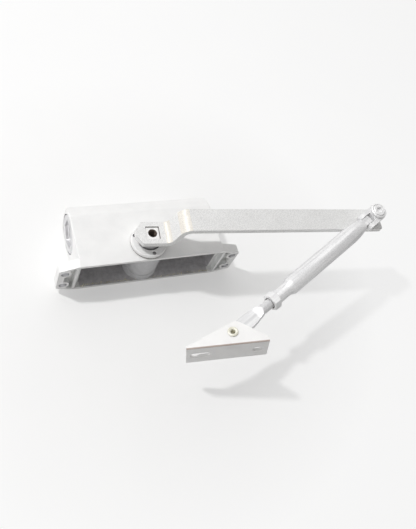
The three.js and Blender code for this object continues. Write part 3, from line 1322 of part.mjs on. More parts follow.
/** Hollow rivet through the bracket's plate, the rod's eye and the washer under it. */
function bracketRivet() {
  const headBottom = PLATE_TOP + SEAT_GAP;
  const headTop = headBottom + RIVET_HEAD_HEIGHT;
  const tailTop = -ROD_EYE_THICKNESS / 2 - RIVET_WASHER_THICKNESS - 2 * SEAT_GAP;
  const tailBottom = tailTop - RIVET_HEAD_HEIGHT;
  const edge = RIVET_CHAMFER;
  const profile = [
    [0, tailBottom],
    [RIVET_HEAD_RADIUS - edge, tailBottom],
    [RIVET_HEAD_RADIUS, tailBottom + edge],
    [RIVET_HEAD_RADIUS, tailTop],
    [RIVET_RADIUS, tailTop],
    [RIVET_RADIUS, headBottom],
    [RIVET_HEAD_RADIUS, headBottom],
    [RIVET_HEAD_RADIUS, headTop - edge],
    [RIVET_HEAD_RADIUS - edge, headTop],
    [RIVET_RADIUS, headTop],
    [RIVET_HOLLOW_RADIUS, headTop - RIVET_HEAD_HEIGHT],
    [RIVET_HOLLOW_RADIUS, headTop - RIVET_HOLLOW_DEPTH],
    [0, headTop - RIVET_HOLLOW_DEPTH],
  ];
  return part('bracket_rivet', 'zinc', turned(profile, 'alongZ', COARSE));
}

/** Washer between the rod's eye and the rivet's lower head. */
function rivetWasher() {
  const top = -ROD_EYE_THICKNESS / 2 - SEAT_GAP;
  const washer = ring(
    RIVET_RADIUS + RIVET_GAP,
    RIVET_WASHER_RADIUS,
    'alongZ',
    top - RIVET_WASHER_THICKNESS,
    top,
    COARSE,
  );
  return part('rivet_washer', 'zinc', washer);
}

// ---------------------------------------------------------------- assembly

/** Everything that turns with the pinion inside the body, about the pinion's axis. */
function pinionAssembly() {
  const assembly = new THREE.Group();
  assembly.add(pinionShaft(), upperGland(), lowerCap(), ...journalFittings());
  assembly.position.y = PINION_Y;
  return assembly;
}

/** Bracket with its rivet, in the rod's frame. */
function bracketAssembly() {
  const bracket = new THREE.Group();
  bracket.add(frameBracket(), bracketRivet(), rivetWasher());
  bracket.position.x = ROD_EYE_AT;
  bracket.rotation.z = BRACKET_HEADING;
  return bracket;
}

/** Elbow knuckle and everything beyond it: tube, nut, rod and bracket. */
function forearmAssembly() {
  const rod = new THREE.Group();
  rod.add(adjustingRod(), bracketAssembly());
  rod.rotation.x = ROD_TWIST;

  const forearm = new THREE.Group();
  forearm.add(forearmTube(), lockNut(), rod);
  forearm.position.set(TILT_PIN_OFFSET, 0, TILT_PIN_Z);
  forearm.rotation.y = FOREARM_DROOP;

  const elbow = new THREE.Group();
  elbow.add(knuckle(), tiltPin(), forearm);
  elbow.position.set(
    ARM_LENGTH * Math.cos(ARM_HEADING),
    PINION_Y + ARM_LENGTH * Math.sin(ARM_HEADING),
    0,
  );
  elbow.rotation.z = FOREARM_HEADING;
  return elbow;
}

/** The whole door closer. */
function doorCloser() {
  const closer = new THREE.Group();
  closer.add(
    housing(),
    boreEnd(-1),
    boreEnd(1),
    pinionAssembly(),
    piston(),
    ...pistonFittings(),
    mainSpring(),
    ...Object.entries(VALVE_HEIGHTS).map(([label, z]) => speedValve(label, z)),
    armAssembly(),
    forearmAssembly(),
  );
  return closer;
}

export default doorCloser();
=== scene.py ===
"""Looks of a surface-mounted door closer.

It has a cast body, a flat arm, a swivelling elbow, an adjustable forearm and an angle bracket. Sizes in the
classes are millimetres in the piece's own frame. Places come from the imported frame's joints and boxes.
"""

import json
import logging
import math
from contextlib import contextmanager
from dataclasses import dataclass
from enum import Enum, IntEnum
from typing import Callable, Dict, Iterator, List, Optional, Sequence, Tuple

import bmesh
import bpy
from mathutils import Matrix, Vector


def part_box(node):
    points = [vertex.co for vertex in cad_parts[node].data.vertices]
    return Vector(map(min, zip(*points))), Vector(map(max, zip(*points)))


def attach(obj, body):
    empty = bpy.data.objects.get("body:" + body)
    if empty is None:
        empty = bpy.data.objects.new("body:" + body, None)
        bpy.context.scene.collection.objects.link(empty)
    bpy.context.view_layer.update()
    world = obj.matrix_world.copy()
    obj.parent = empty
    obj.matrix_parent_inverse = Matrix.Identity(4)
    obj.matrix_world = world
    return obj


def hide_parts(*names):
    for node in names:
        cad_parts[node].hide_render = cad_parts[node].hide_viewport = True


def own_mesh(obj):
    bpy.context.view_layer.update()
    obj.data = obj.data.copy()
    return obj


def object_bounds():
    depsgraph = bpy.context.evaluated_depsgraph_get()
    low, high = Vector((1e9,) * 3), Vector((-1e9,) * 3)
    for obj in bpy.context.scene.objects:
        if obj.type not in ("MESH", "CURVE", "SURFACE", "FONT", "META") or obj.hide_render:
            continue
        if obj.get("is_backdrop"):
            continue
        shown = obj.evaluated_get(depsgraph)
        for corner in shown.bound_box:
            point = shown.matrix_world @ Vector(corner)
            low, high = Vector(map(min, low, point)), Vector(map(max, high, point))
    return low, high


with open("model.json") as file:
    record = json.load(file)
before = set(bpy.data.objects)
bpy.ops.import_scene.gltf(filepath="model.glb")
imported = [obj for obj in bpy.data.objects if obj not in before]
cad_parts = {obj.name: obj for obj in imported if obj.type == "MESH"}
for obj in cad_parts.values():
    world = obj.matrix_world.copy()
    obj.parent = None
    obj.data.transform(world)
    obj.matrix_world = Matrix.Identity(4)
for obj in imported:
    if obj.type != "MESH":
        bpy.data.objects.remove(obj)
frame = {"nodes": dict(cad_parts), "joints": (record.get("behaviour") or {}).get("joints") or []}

LOG = logging.getLogger("door_closer")
MM = 0.001
GAP = 0.3  # between faces that rest on each other
OVERRUN = 1.0  # how far a cutting tool runs past the face it opens
UP = Vector((0, 0, 1))
WHITE = (1.0, 1.0, 1.0)
WELD = 1e-4  # corners closer than this are one corner while a form is cut
FINAL_WELD = 2e-3  # and once it is finished
FLAT_TURN = 0.4  # faces that turn less than this many degrees become one
EDGE_TURN = 40  # edges that turn more than this many degrees can be rounded
SMOOTH_TURN = 32  # faces that turn less than this many degrees shade as a round
SOFT_SEGMENTS = 2  # facets across a softened edge
NOISE_SPAN = (0.3, 0.7)  # where most values of a noise lie
ANY_TURN = (6.28, 6.28, 6.28)  # about a full turn on each axis, in radians

Point = Tuple[float, float]
Colour = Tuple[float, float, float]
Mesh = bpy.types.Mesh
Object = bpy.types.Object
Finish = bpy.types.Material
Socket = bpy.types.NodeSocket


# ---------------------------------------------------------------- scene

def in_scene(name: str, data: bpy.types.ID) -> Object:
    """New object in the scene, at the origin.

    Args:
        name: name of the object.
        data: mesh, light or camera that it shows.

    Returns:
        The object.
    """
    thing = bpy.data.objects.new(name, data)
    bpy.context.scene.collection.objects.link(thing)
    return thing


def plain_mesh(thing: Object) -> Mesh:
    """Mesh of an object as its modifiers make it."""
    depsgraph = bpy.context.evaluated_depsgraph_get()
    return bpy.data.meshes.new_from_object(thing.evaluated_get(depsgraph))


@contextmanager
def edited(mesh: Mesh) -> Iterator[bmesh.types.BMesh]:
    """Mesh opened for a change, which is written back at the end.

    Args:
        mesh: the mesh.

    Returns:
        Context whose value is the open mesh.
    """
    built = bmesh.new()
    built.from_mesh(mesh)
    yield built
    built.to_mesh(mesh)
    built.free()


# ---------------------------------------------------------------- places

class Axis(Enum):
    """Direction along which a flat outline is extruded: where its own x, y and height go."""

    X = ((0, 1, 0), (0, 0, 1), (1, 0, 0))
    Y = ((0, 0, 1), (1, 0, 0), (0, 1, 0))
    Z = ((1, 0, 0), (0, 1, 0), (0, 0, 1))

    def matrix(self) -> Matrix:
        """Turns a form built along its own z to this axis."""
        return Matrix(self.value).transposed().to_4x4()


@dataclass(frozen=True)
class Placement:
    """Frame of a sub-assembly: origin in millimetres and two of its axes."""

    origin: Vector
    x: Vector
    z: Vector

    def matrix(self) -> Matrix:
        """Takes the sub-assembly's own frame to the part's frame, both in millimetres."""
        across = self.z.cross(self.x)
        turn = Matrix((self.x, across, self.z)).transposed().to_4x4()
        return Matrix.Translation(self.origin) @ turn


class Joints:
    """Places of the joints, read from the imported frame."""

    def __init__(self, rows: Sequence[Dict]) -> None:
        """Keeps the rows by name.

        Args:
            rows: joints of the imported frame.
        """
        self.rows = {row["name"]: row for row in rows}

    def point(self, name: str) -> Vector:
        """Joint's place in millimetres."""
        return Vector(self.rows[name]["pos_m"]) / MM

    def axis(self, name: str) -> Vector:
        """Joint's unit axis."""
        return Vector(self.rows[name]["axis"]).normalized()

    def heading(self, start: str, end: str) -> Vector:
        """Level direction from one joint to another.

        Args:
            start: name of the joint that it leaves.
            end: name of the joint that it reaches.

        Returns:
            Unit vector without height.
        """
        way = self.point(end) - self.point(start)
        way.z = 0
        return way.normalized()

    def level(self, name: str) -> Vector:
        """Joint's place dropped to the part's mid-height."""
        place = self.point(name)
        return Vector((place.x, place.y, 0))

    def level_frame(self, name: str, start: str, end: str) -> Matrix:
        """Upright frame at a joint.

        Args:
            name: joint that its origin is on.
            start: joint that its x axis heads from.
            end: joint that its x axis heads to.

        Returns:
            Matrix from this frame to the part's frame, in millimetres.
        """
        return Placement(self.level(name), self.heading(start, end), UP).matrix()


def box(node: str) -> Tuple[Vector, Vector]:
    """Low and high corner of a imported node, in millimetres."""
    low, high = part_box(node)
    return low / MM, high / MM


def heights(node: str) -> Tuple[float, float]:
    """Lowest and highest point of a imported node, in millimetres."""
    low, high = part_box(node)
    return low.z / MM, high.z / MM


# ---------------------------------------------------------------- outlines

def shares(steps: int) -> List[float]:
    """Evenly spaced values from 0 to 1, both included."""
    return [step / steps for step in range(steps + 1)]


def rounded(corners: Sequence[Sequence[float]], steps: int = 8) -> List[Point]:
    """Outline through corners, each rounded by its radius.

    Args:
        corners: (x, y) or (x, y, radius) in order.
        steps: segments in each rounding.

    Returns:
        Points of the closed outline.
    """
    points: List[Point] = []
    for index, corner in enumerate(corners):
        here = Vector(corner[:2])
        radius = corner[2] if len(corner) > 2 else 0
        if radius <= 0:
            points.append((here.x, here.y))
            continue
        before = (Vector(corners[index - 1][:2]) - here).normalized()
        after = (Vector(corners[(index + 1) % len(corners)][:2]) - here).normalized()
        half = before.angle(after) / 2
        reach = radius / math.tan(half)
        centre = here + (before + after).normalized() * (radius / math.sin(half))
        start, end = here + before * reach - centre, here + after * reach - centre
        sweep = start.angle_signed(end)
        for step in range(steps + 1):
            arm = Matrix.Rotation(-sweep * step / steps, 2) @ start
            points.append((centre.x + arm.x, centre.y + arm.y))
    return points


def ring(radius: float, sides: int, turn: float = 0.0) -> List[Point]:
    """Corners of a regular polygon, the first at an angle in radians."""
    angles = [turn + 2 * math.pi * side / sides for side in range(sides)]
    return [(radius * math.cos(angle), radius * math.sin(angle)) for angle in angles]


def hexagon(across_flats: float, turn: float = 0.0) -> List[Point]:
    """Hexagon of a size across its flats, turned by an angle in degrees."""
    return ring(across_flats / 2 / math.cos(math.pi / 6), 6, math.radians(turn))


def arc(x: float, y: float, radius: float, start: float, end: float, steps: int = 16) -> List[Point]:
    """Points along an arc between two angles in degrees."""
    angles = [math.radians(start + (end - start) * step / steps) for step in range(steps + 1)]
    return [(x + radius * math.cos(angle), y + radius * math.sin(angle)) for angle in angles]


def slot_outline(x: float, y: float, length: float, width: float) -> List[Point]:
    """Slot with round ends, centred on (x, y) and running along its own x."""
    reach = (length - width) / 2
    return arc(x + reach, y, width / 2, -90, 90) + arc(x - reach, y, width / 2, 90, 270)


def tongue_outline(x: float, y: float, radius: float, start: float, end: float, root: float) -> List[Point]:
    """Tongue with a round end, from a straight root to an arc between two angles in degrees."""
    turned = arc(x, y, radius, start, end, 24)
    return [(turned[0][0], root), *turned, (turned[-1][0], root)]


# ---------------------------------------------------------------- forms

class Facets(IntEnum):
    """Facets round a turned form, by its size."""

    TINY = 32
    SMALL = 48
    FAIR = 64
    WIDE = 72
    LARGE = 96


class Form:
    """Closed mesh under construction, in millimetres, whose faces already carry their finish."""

    def __init__(self, mesh: Mesh) -> None:
        """Wraps a mesh.

        Args:
            mesh: closed mesh with its materials.
        """
        self.mesh = mesh

    @classmethod
    def _from(cls, built: bmesh.types.BMesh, axis: Axis, finish: Finish) -> "Form":
        """Makes a form with one finish.

        Args:
            built: faces along their own z axis; it is freed.
            axis: axis that they are turned to.
            finish: material of the faces.

        Returns:
            The form.
        """
        built.transform(axis.matrix())
        bmesh.ops.remove_doubles(built, verts=built.verts, dist=WELD)
        bmesh.ops.recalc_face_normals(built, faces=built.faces)
        mesh = bpy.data.meshes.new("form")
        built.to_mesh(mesh)
        built.free()
        mesh.materials.append(finish)
        return cls(mesh)

    @classmethod
    def prism(cls, outline: Sequence[Point], axis: Axis, low: float, high: float, finish: Finish) -> "Form":
        """Outline extruded between two stations of an axis.

        Args:
            outline: points of the closed outline.
            axis: direction of the extrusion.
            low: first station.
            high: last station.
            finish: material of its faces.

        Returns:
            The closed form.
        """
        built = bmesh.new()
        floor = [built.verts.new((x, y, low)) for x, y in outline]
        roof = [built.verts.new((x, y, high)) for x, y in outline]
        built.faces.new(floor)
        built.faces.new(roof)
        for index in range(len(outline)):
            after = (index + 1) % len(outline)
            built.faces.new((floor[index], floor[after], roof[after], roof[index]))
        return cls._from(built, axis, finish)

    @classmethod
    def turned(cls, profile: Sequence[Point], axis: Axis, finish: Finish,
               steps: int = Facets.WIDE) -> "Form":
        """Solid of revolution about an axis through the origin.

        Args:
            profile: (radius, station) points; a profile that leaves the axis open is closed on itself.
            axis: axis of revolution.
            finish: material of its faces.
            steps: facets round the axis.

        Returns:
            The closed form.
        """
        built = bmesh.new()
        rings: List[List[bmesh.types.BMVert]] = []
        for radius, station in profile:
            around = ring(radius, steps) if radius > 0 else [(0, 0)]
            rings.append([built.verts.new((x, y, station)) for x, y in around])
        closed = len(rings[0]) > 1 and len(rings[-1]) > 1
        following = rings[1:] + rings[:1] if closed else rings[1:]
        for one, two in zip(rings, following):
            for step in range(steps):
                after = (step + 1) % steps
                near = [one[step % len(one)], one[after % len(one)]]
                far = [two[after % len(two)], two[step % len(two)]]
                corners = list(dict.fromkeys(near + far))
                if len(corners) > 2:
                    built.faces.new(corners)
        return cls._from(built, axis, finish)

    @classmethod
    def bar(cls, radius: float, axis: Axis, low: float, high: float, finish: Finish,
            steps: int = Facets.WIDE) -> "Form":
        """Round bar about an axis."""
        return cls.turned([(0, low), (radius, low), (radius, high), (0, high)], axis, finish, steps)

    @classmethod
    def block(cls, low: Sequence[float], high: Sequence[float], finish: Finish) -> "Form":
        """Block between two corners."""
        outline = [(low[0], low[1]), (high[0], low[1]), (high[0], high[1]), (low[0], high[1])]
        return cls.prism(outline, Axis.Z, low[2], high[2], finish)

    def placed(self, matrix: Matrix) -> "Form":
        """Transforms the form by a matrix."""
        self.mesh.transform(matrix)
        return self

    def moved(self, x: float = 0, y: float = 0, z: float = 0) -> "Form":
        """Shifts the form."""
        return self.placed(Matrix.Translation((x, y, z)))

    def softened(self, width: float, segments: int = 3) -> "Form":
        """Rounds every edge by a width, with a number of facets across it."""
        with edited(self.mesh) as built:
            limit = math.radians(EDGE_TURN)
            edges = [e for e in built.edges if len(e.link_faces) == 2 and e.calc_face_angle(0) > limit]
            bmesh.ops.bevel(built, geom=edges, offset=width, segments=segments, profile=0.5,
                            affect="EDGES", clamp_overlap=True, material=-1)
        return self

    def tinted(self, finish: Finish, where: Callable[[Vector, Vector], bool]) -> "Form":
        """Gives a finish to the faces that a test picks.

        Args:
            finish: the finish.
            where: test of a face's centre and normal.

        Returns:
            This form.
        """
        self.mesh.materials.append(finish)
        for face in self.mesh.polygons:
            if where(face.center, face.normal):
                face.material_index = len(self.mesh.materials) - 1
        return self

    def _flattened(self) -> None:
        """Splits every face into triangles, so that each is flat."""
        with edited(self.mesh) as built:
            bmesh.ops.remove_doubles(built, verts=built.verts, dist=WELD)
            bmesh.ops.triangulate(built, faces=built.faces)

    def _combined(self, tools: Sequence["Form"], operation: str) -> "Form":
        """Combines this form with others, one at a time, by exact solid operations.

        Args:
            tools: the others, which are used up.
            operation: name of the operation.

        Returns:
            The combined form.
        """
        result = self
        for tool in tools:
            result._flattened()
            tool._flattened()
            base, helper = in_scene("base", result.mesh), in_scene("tool", tool.mesh)
            step = base.modifiers.new("step", "BOOLEAN")
            step.operation = operation
            step.object = helper
            step.solver = "EXACT"
            step.material_mode = "TRANSFER"
            result = Form(plain_mesh(base))
            bpy.data.objects.remove(base)
            bpy.data.objects.remove(helper)
        return result

    def joined(self, *tools: "Form") -> "Form":
        """Form with the others added."""
        return self._combined(tools, "UNION")

    def cut(self, *tools: "Form") -> "Form":
        """Form with the others taken away."""
        return self._combined(tools, "DIFFERENCE")

    def shared(self, *tools: "Form") -> "Form":
        """What the form shares with the others."""
        return self._combined(tools, "INTERSECT")

    def finished(self, name: str, matrix: Matrix, soft: float = 0.25) -> Object:
        """Object in metres in the part's frame, with softened edges and smooth rounds.

        Args:
            name: name of the object.
            matrix: from the form's frame to the part's frame, in millimetres.
            soft: width of the softened edges, or 0 to leave them sharp.

        Returns:
            The object, at the origin with its place in its mesh.
        """
        mesh = self.mesh.copy()
        mesh.name = name
        smooth = math.radians(SMOOTH_TURN)
        with edited(mesh) as built:
            bmesh.ops.remove_doubles(built, verts=built.verts, dist=FINAL_WELD)
            bmesh.ops.dissolve_limit(built, angle_limit=math.radians(FLAT_TURN), verts=built.verts,
                                     edges=built.edges, delimit={"MATERIAL"})
            built.transform(Matrix.Scale(MM, 4) @ matrix)
        mesh.shade_smooth()
        mesh.set_sharp_from_angle(angle=smooth)
        piece = in_scene(name, mesh)
        if soft > 0:
            bevel = piece.modifiers.new("soft edges", "BEVEL")
            bevel.width = soft * MM
            bevel.segments = SOFT_SEGMENTS
            bevel.limit_method = "ANGLE"
            bevel.angle_limit = smooth
            bevel.harden_normals = True
        weighted = piece.modifiers.new("flat faces", "WEIGHTED_NORMAL")
        weighted.keep_sharp = True
        piece.data = plain_mesh(piece)
        piece.data.name = name
        piece.modifiers.clear()
        return piece


# ---------------------------------------------------------------- node trees

class Graph:
    """Node tree under construction."""

    def __init__(self, tree: bpy.types.NodeTree) -> None:
        """Wraps a tree.

        Args:
            tree: the node tree.
        """
        self.tree = tree

    def feed(self, socket: Socket, value: object) -> None:
        """Links an input to another node, or sets its value."""
        if isinstance(value, Socket):
            self.tree.links.new(value, socket)
        elif socket.type == "RGBA":
            socket.default_value = (*value, 1.0)
        else:
            socket.default_value = value

    def node(self, kind: str, choices: Optional[Dict[str, str]] = None, **feeds: object) -> bpy.types.Node:
        """Adds a node and feeds its inputs.

        Args:
            kind: type of the node.
            choices: its own settings.
            feeds: socket or value for each input, its name written with underscores for spaces.

        Returns:
            The node.
        """
        node = self.tree.nodes.new(kind)
        for name, choice in (choices or {}).items():
            setattr(node, name, choice)
        for name, value in feeds.items():
            self.feed(node.inputs[name.replace("_", " ")], value)
        return node

    def arithmetic(self, operation: str, one: object, two: object) -> Socket:
        """Result of an operation on two values.

        Args:
            operation: name of the operation.
            one: first value or socket.
            two: second value or socket.

        Returns:
            The result.
        """
        node = self.node("ShaderNodeMath", {"operation": operation})
        self.feed(node.inputs[0], one)
        self.feed(node.inputs[1], two)
        return node.outputs[0]

    def band(self, source: Socket, low: float, high: float, start: float = 0, end: float = 1) -> Socket:
        """Value stretched from one range to another and held at its ends."""
        node = self.node("ShaderNodeMapRange", Value=source, From_Min=low, From_Max=high,
                         To_Min=start, To_Max=end)
        return node.outputs["Result"]

    def seen(self) -> Socket:
        """1 for what the eye, gloss or glass sees, and 0 for the light that falls on the rest."""
        rays = self.node("ShaderNodeLightPath").outputs
        direct = self.arithmetic("MAXIMUM", rays["Is Camera Ray"], rays["Is Glossy Ray"])
        return self.arithmetic("MAXIMUM", direct, rays["Is Transmission Ray"])


class MeshTree(Graph):
    """Geometry Nodes tree with named inputs, whose result becomes a plain mesh."""

    INPUTS: Tuple[Tuple[str, str], ...] = ()

    def __init__(self) -> None:
        """Builds the tree once: its inputs, its own nodes, and the realized result with its finish."""
        super().__init__(bpy.data.node_groups.new(type(self).__name__, "GeometryNodeTree"))
        self.sockets: Dict[str, str] = {}
        interface = self.tree.interface
        interface.new_socket("Geometry", in_out="OUTPUT", socket_type="NodeSocketGeometry")
        for name, kind in (*self.INPUTS, ("Finish", "NodeSocketMaterial")):
            socket = interface.new_socket(name, in_out="INPUT", socket_type=kind)
            self.sockets[name] = socket.identifier
        self.inputs = self.node("NodeGroupInput").outputs
        realize = self.node("GeometryNodeRealizeInstances", Geometry=self.shape())
        finish = self.node("GeometryNodeSetMaterial", Geometry=realize.outputs["Geometry"],
                           Material=self.inputs["Finish"])
        self.node("NodeGroupOutput", Geometry=finish.outputs["Geometry"])

    def shape(self) -> Socket:
        """Geometry that the tree makes."""
        raise NotImplementedError

    def piece(self, name: str, matrix: Matrix, finish: Finish, **values: object) -> Object:
        """Plain mesh object made by the tree.

        Args:
            name: name of the object.
            matrix: its place, in millimetres.
            finish: its material.
            values: value of each input, its name written with underscores for spaces.

        Returns:
            The object, at the origin with its place in its mesh.
        """
        carrier = in_scene(name, bpy.data.meshes.new(name))
        maker = carrier.modifiers.new("maker", "NODES")
        maker.node_group = self.tree
        for key, value in {"Finish": finish, **values}.items():
            maker[self.sockets[key.replace("_", " ")]] = value
        mesh = plain_mesh(carrier)
        carrier.modifiers.clear()
        with edited(mesh) as built:
            built.transform(Matrix.Translation(matrix.translation * MM) @ matrix.to_3x3().to_4x4())
            bmesh.ops.recalc_face_normals(built, faces=built.faces)
        mesh.name = name
        carrier.data = mesh
        return carrier


class CoilTree(MeshTree):
    """Round wire wound into a coil about its own z axis."""

    INPUTS = (("Radius", "NodeSocketFloat"), ("Length", "NodeSocketFloat"), ("Turns", "NodeSocketFloat"),
              ("Wire", "NodeSocketFloat"))

    def shape(self) -> Socket:
        """Spiral swept by a round section."""
        given = self.inputs
        spiral = self.node("GeometryNodeCurveSpiral", Resolution=32, Rotations=given["Turns"],
                           Start_Radius=given["Radius"], End_Radius=given["Radius"], Height=given["Length"])
        section = self.node("GeometryNodeCurvePrimitiveCircle", Radius=given["Wire"], Resolution=6)
        sweep = self.node("GeometryNodeCurveToMesh", Curve=spiral.outputs["Curve"],
                          Profile_Curve=section.outputs["Curve"], Fill_Caps=True)
        return self.node("GeometryNodeSetShadeSmooth", Geometry=sweep.outputs["Mesh"]).outputs["Geometry"]

    def coil(self, name: str, matrix: Matrix, radius: float, length: float, turns: float, wire: float,
             finish: Finish) -> Object:
        """Plain mesh object of one coil.

        Args:
            name: name of the object.
            matrix: place of the coil's start, in millimetres.
            radius: radius of the wire's centre line, in millimetres.
            length: height from the first turn to the last, in millimetres.
            turns: number of turns.
            wire: radius of the wire's section, in millimetres.
            finish: material of the wire.

        Returns:
            The object.
        """
        return self.piece(name, matrix, finish, Radius=radius * MM, Length=length * MM, Turns=float(turns),
                          Wire=wire * MM)


class BurrTree(MeshTree):
    """Small casting burrs strewn along an edge that runs along its own x axis."""

    INPUTS = (("Length", "NodeSocketFloat"), ("Spread", "NodeSocketVector"), ("Count", "NodeSocketInt"),
              ("Least", "NodeSocketVector"), ("Most", "NodeSocketVector"), ("Seed", "NodeSocketInt"))

    def scattered(self, low: object, high: object, draw: int) -> Socket:
        """Random vector for each burr.

        Args:
            low: vector or socket that it starts from.
            high: vector or socket that it reaches up to.
            draw: number that keeps this draw apart from the others.

        Returns:
            The vector.
        """
        choice = self.node("FunctionNodeRandomValue", {"data_type": "FLOAT_VECTOR"},
                           Seed=self.arithmetic("ADD", self.inputs["Seed"], draw))
        self.feed(choice.inputs[0], low)
        self.feed(choice.inputs[1], high)
        return choice.outputs[0]

    def shape(self) -> Socket:
        """Small lumps of random size and turn along a line."""
        given = self.inputs
        end = self.node("ShaderNodeCombineXYZ", X=given["Length"])
        line = self.node("GeometryNodeMeshLine", {"mode": "END_POINTS"}, Count=given["Count"],
                         Offset=end.outputs["Vector"])
        spread = self.scattered((0, 0, 0), given["Spread"], 1)
        turn = self.scattered((0, 0, 0), ANY_TURN, 2)
        size = self.scattered(given["Least"], given["Most"], 3)
        strewn = self.node("GeometryNodeSetPosition", Geometry=line.outputs["Mesh"], Offset=spread)
        lump = self.node("GeometryNodeMeshIcoSphere", Radius=1.0, Subdivisions=1)
        lumps = self.node("GeometryNodeInstanceOnPoints", Points=strewn.outputs["Geometry"],
                          Instance=lump.outputs["Mesh"], Rotation=turn, Scale=size)
        return lumps.outputs["Instances"]


# ---------------------------------------------------------------- finishes

class Recipe(Graph):
    """Node tree of one material, with patterns measured in millimetres on the object."""

    def __init__(self, name: str) -> None:
        """Starts a material with one shader.

        Args:
            name: name of the material.
        """
        self.material = bpy.data.materials.new(name)
        self.material.use_nodes = True
        super().__init__(self.material.node_tree)
        self.shader = self.tree.nodes["Principled BSDF"]
        place = self.node("ShaderNodeTexCoord").outputs["Object"]
        self.place = self.node("ShaderNodeMapping", Vector=place, Scale=(1 / MM,) * 3).outputs["Vector"]

    def stretched(self, along: Vector, factors: Tuple[float, float, float]) -> Socket:
        """Coordinates turned to a direction, then scaled.

        Args:
            along: unit direction that becomes the pattern's x axis.
            factors: scale along and across it; below 1 draws the pattern out.

        Returns:
            The coordinates.
        """
        turn = (0, math.atan2(along.z, along.x), -math.asin(along.y))
        turned = self.node("ShaderNodeMapping", Vector=self.place, Rotation=turn).outputs["Vector"]
        return self.node("ShaderNodeMapping", Vector=turned, Scale=factors).outputs["Vector"]

    def noise(self, size: float, detail: float = 3, roughness: float = 0.55,
              place: Optional[Socket] = None) -> Socket:
        """Soft noise.

        Args:
            size: size of its patches in millimetres.
            detail: octaves.
            roughness: strength of the finer octaves.
            place: coordinates, or the object's own.

        Returns:
            Value from 0 to 1.
        """
        node = self.node("ShaderNodeTexNoise", Vector=place or self.place, Scale=1 / size, Detail=detail,
                         Roughness=roughness)
        return node.outputs["Fac"]

    def cells(self, size: float) -> Socket:
        """Distance to the middle of scattered cells of a size in millimetres."""
        return self.node("ShaderNodeTexVoronoi", Vector=self.place, Scale=1 / size).outputs["Distance"]

    def ramp(self, source: Socket, low: float, first: Colour, high: float, last: Colour) -> Socket:
        """Colour that turns from one to another as a value rises.

        Args:
            source: value from 0 to 1.
            low: value up to which it is the first.
            first: the first colour.
            high: value from which it is the last.
            last: the last colour.

        Returns:
            The colour.
        """
        node = self.node("ShaderNodeValToRGB", Fac=source)
        for element, place, colour in zip(node.color_ramp.elements, (low, high), (first, last)):
            element.position = place
            element.color = (*colour, 1)
        return node.outputs["Color"]

    def darkened(self, tone: Socket, share: float, pattern: Socket) -> Socket:
        """Colour multiplied by a pattern.

        Args:
            tone: the colour.
            share: how much of the pattern shows.
            pattern: colour that it is multiplied by.

        Returns:
            The colour.
        """
        node = self.node("ShaderNodeMix", {"data_type": "RGBA", "blend_type": "MULTIPLY"}, Factor=share)
        one, two = [socket for socket in node.inputs if socket.type == "RGBA"]
        self.feed(one, tone)
        self.feed(two, pattern)
        return next(socket for socket in node.outputs if socket.type == "RGBA")

    def relief(self, height: Socket, depth: float, strength: float = 1,
               under: Optional[Socket] = None) -> Socket:
        """Relief of the surface.

        Args:
            height: value from 0 to 1.
            depth: depth in millimetres.
            strength: share of it that shows.
            under: relief under it.

        Returns:
            The normal.
        """
        node = self.node("ShaderNodeBump", Height=height, Distance=depth * MM, Strength=strength)
        if under is not None:
            self.feed(node.inputs["Normal"], under)
        return node.outputs["Normal"]

    def whitened(self, near: float, far: float, reach: Tuple[float, float]) -> None:
        """Lets the eye, gloss and glass see the surface partly as plain white.

        Args:
            near: how much of it is white close to the origin.
            far: how much of it is white far from the origin.
            reach: distances in millimetres between which it changes.
        """
        away = self.node("ShaderNodeVectorMath", {"operation": "LENGTH"}, Vector=self.place)
        share = self.band(away.outputs["Value"], *reach, near, far)
        blend = self.node("ShaderNodeMixShader", Fac=self.arithmetic("MULTIPLY", self.seen(), share))
        surface, white = blend.inputs[1:]
        self.feed(surface, self.shader.outputs["BSDF"])
        self.feed(white, self.node("ShaderNodeEmission").outputs["Emission"])
        self.feed(self.tree.nodes["Material Output"].inputs["Surface"], blend.outputs["Shader"])

    def roughness(self, pattern: Socket, span: Tuple[float, float]) -> Socket:
        """Roughness that follows a noise between two values."""
        return self.band(pattern, *NOISE_SPAN, *span)

    def done(self, colour: object, roughness: object, normal: Optional[Socket] = None,
             metallic: float = 0.0) -> Finish:
        """Feeds the shader.

        Args:
            colour: base colour.
            roughness: roughness.
            normal: relief.
            metallic: 0 for paint or rubber, 1 for bare metal.

        Returns:
            The material.
        """
        wanted = {"Base Color": colour, "Roughness": roughness, "Metallic": metallic, "Normal": normal}
        for name, value in wanted.items():
            if value is not None:
                self.feed(self.shader.inputs[name], value)
        return self.material


@dataclass(frozen=True)
class SilverPaint:
    """Fine silver lacquer, on the casting or on sheet."""

    name: str = "silver_paint"
    light: Colour = (0.90, 0.898, 0.893)
    dark: Colour = (0.845, 0.845, 0.842)
    cloud: float = 18.0
    flake: float = 0.35
    flake_tone: Colour = (0.5, 0.5, 0.52)
    flake_share: float = 0.06
    peel: float = 0.9
    peel_depth: float = 0.03
    gloss: Tuple[float, float] = (0.48, 0.6)
    metallic: float = 0.08

    def material(self) -> Finish:
        """Material with fine flake, cloudy tone and orange peel."""
        recipe = Recipe(self.name)
        tone = recipe.ramp(recipe.noise(self.cloud, 4), 0.3, self.dark, 0.65, self.light)
        flakes = recipe.band(recipe.cells(self.flake), 0.1, 0.6)
        tone = recipe.darkened(tone, self.flake_share, recipe.ramp(flakes, 0, WHITE, 1, self.flake_tone))
        peel = recipe.relief(recipe.noise(self.peel, 4, 0.6), self.peel_depth)
        return recipe.done(tone, recipe.roughness(recipe.noise(6), self.gloss), peel, self.metallic)


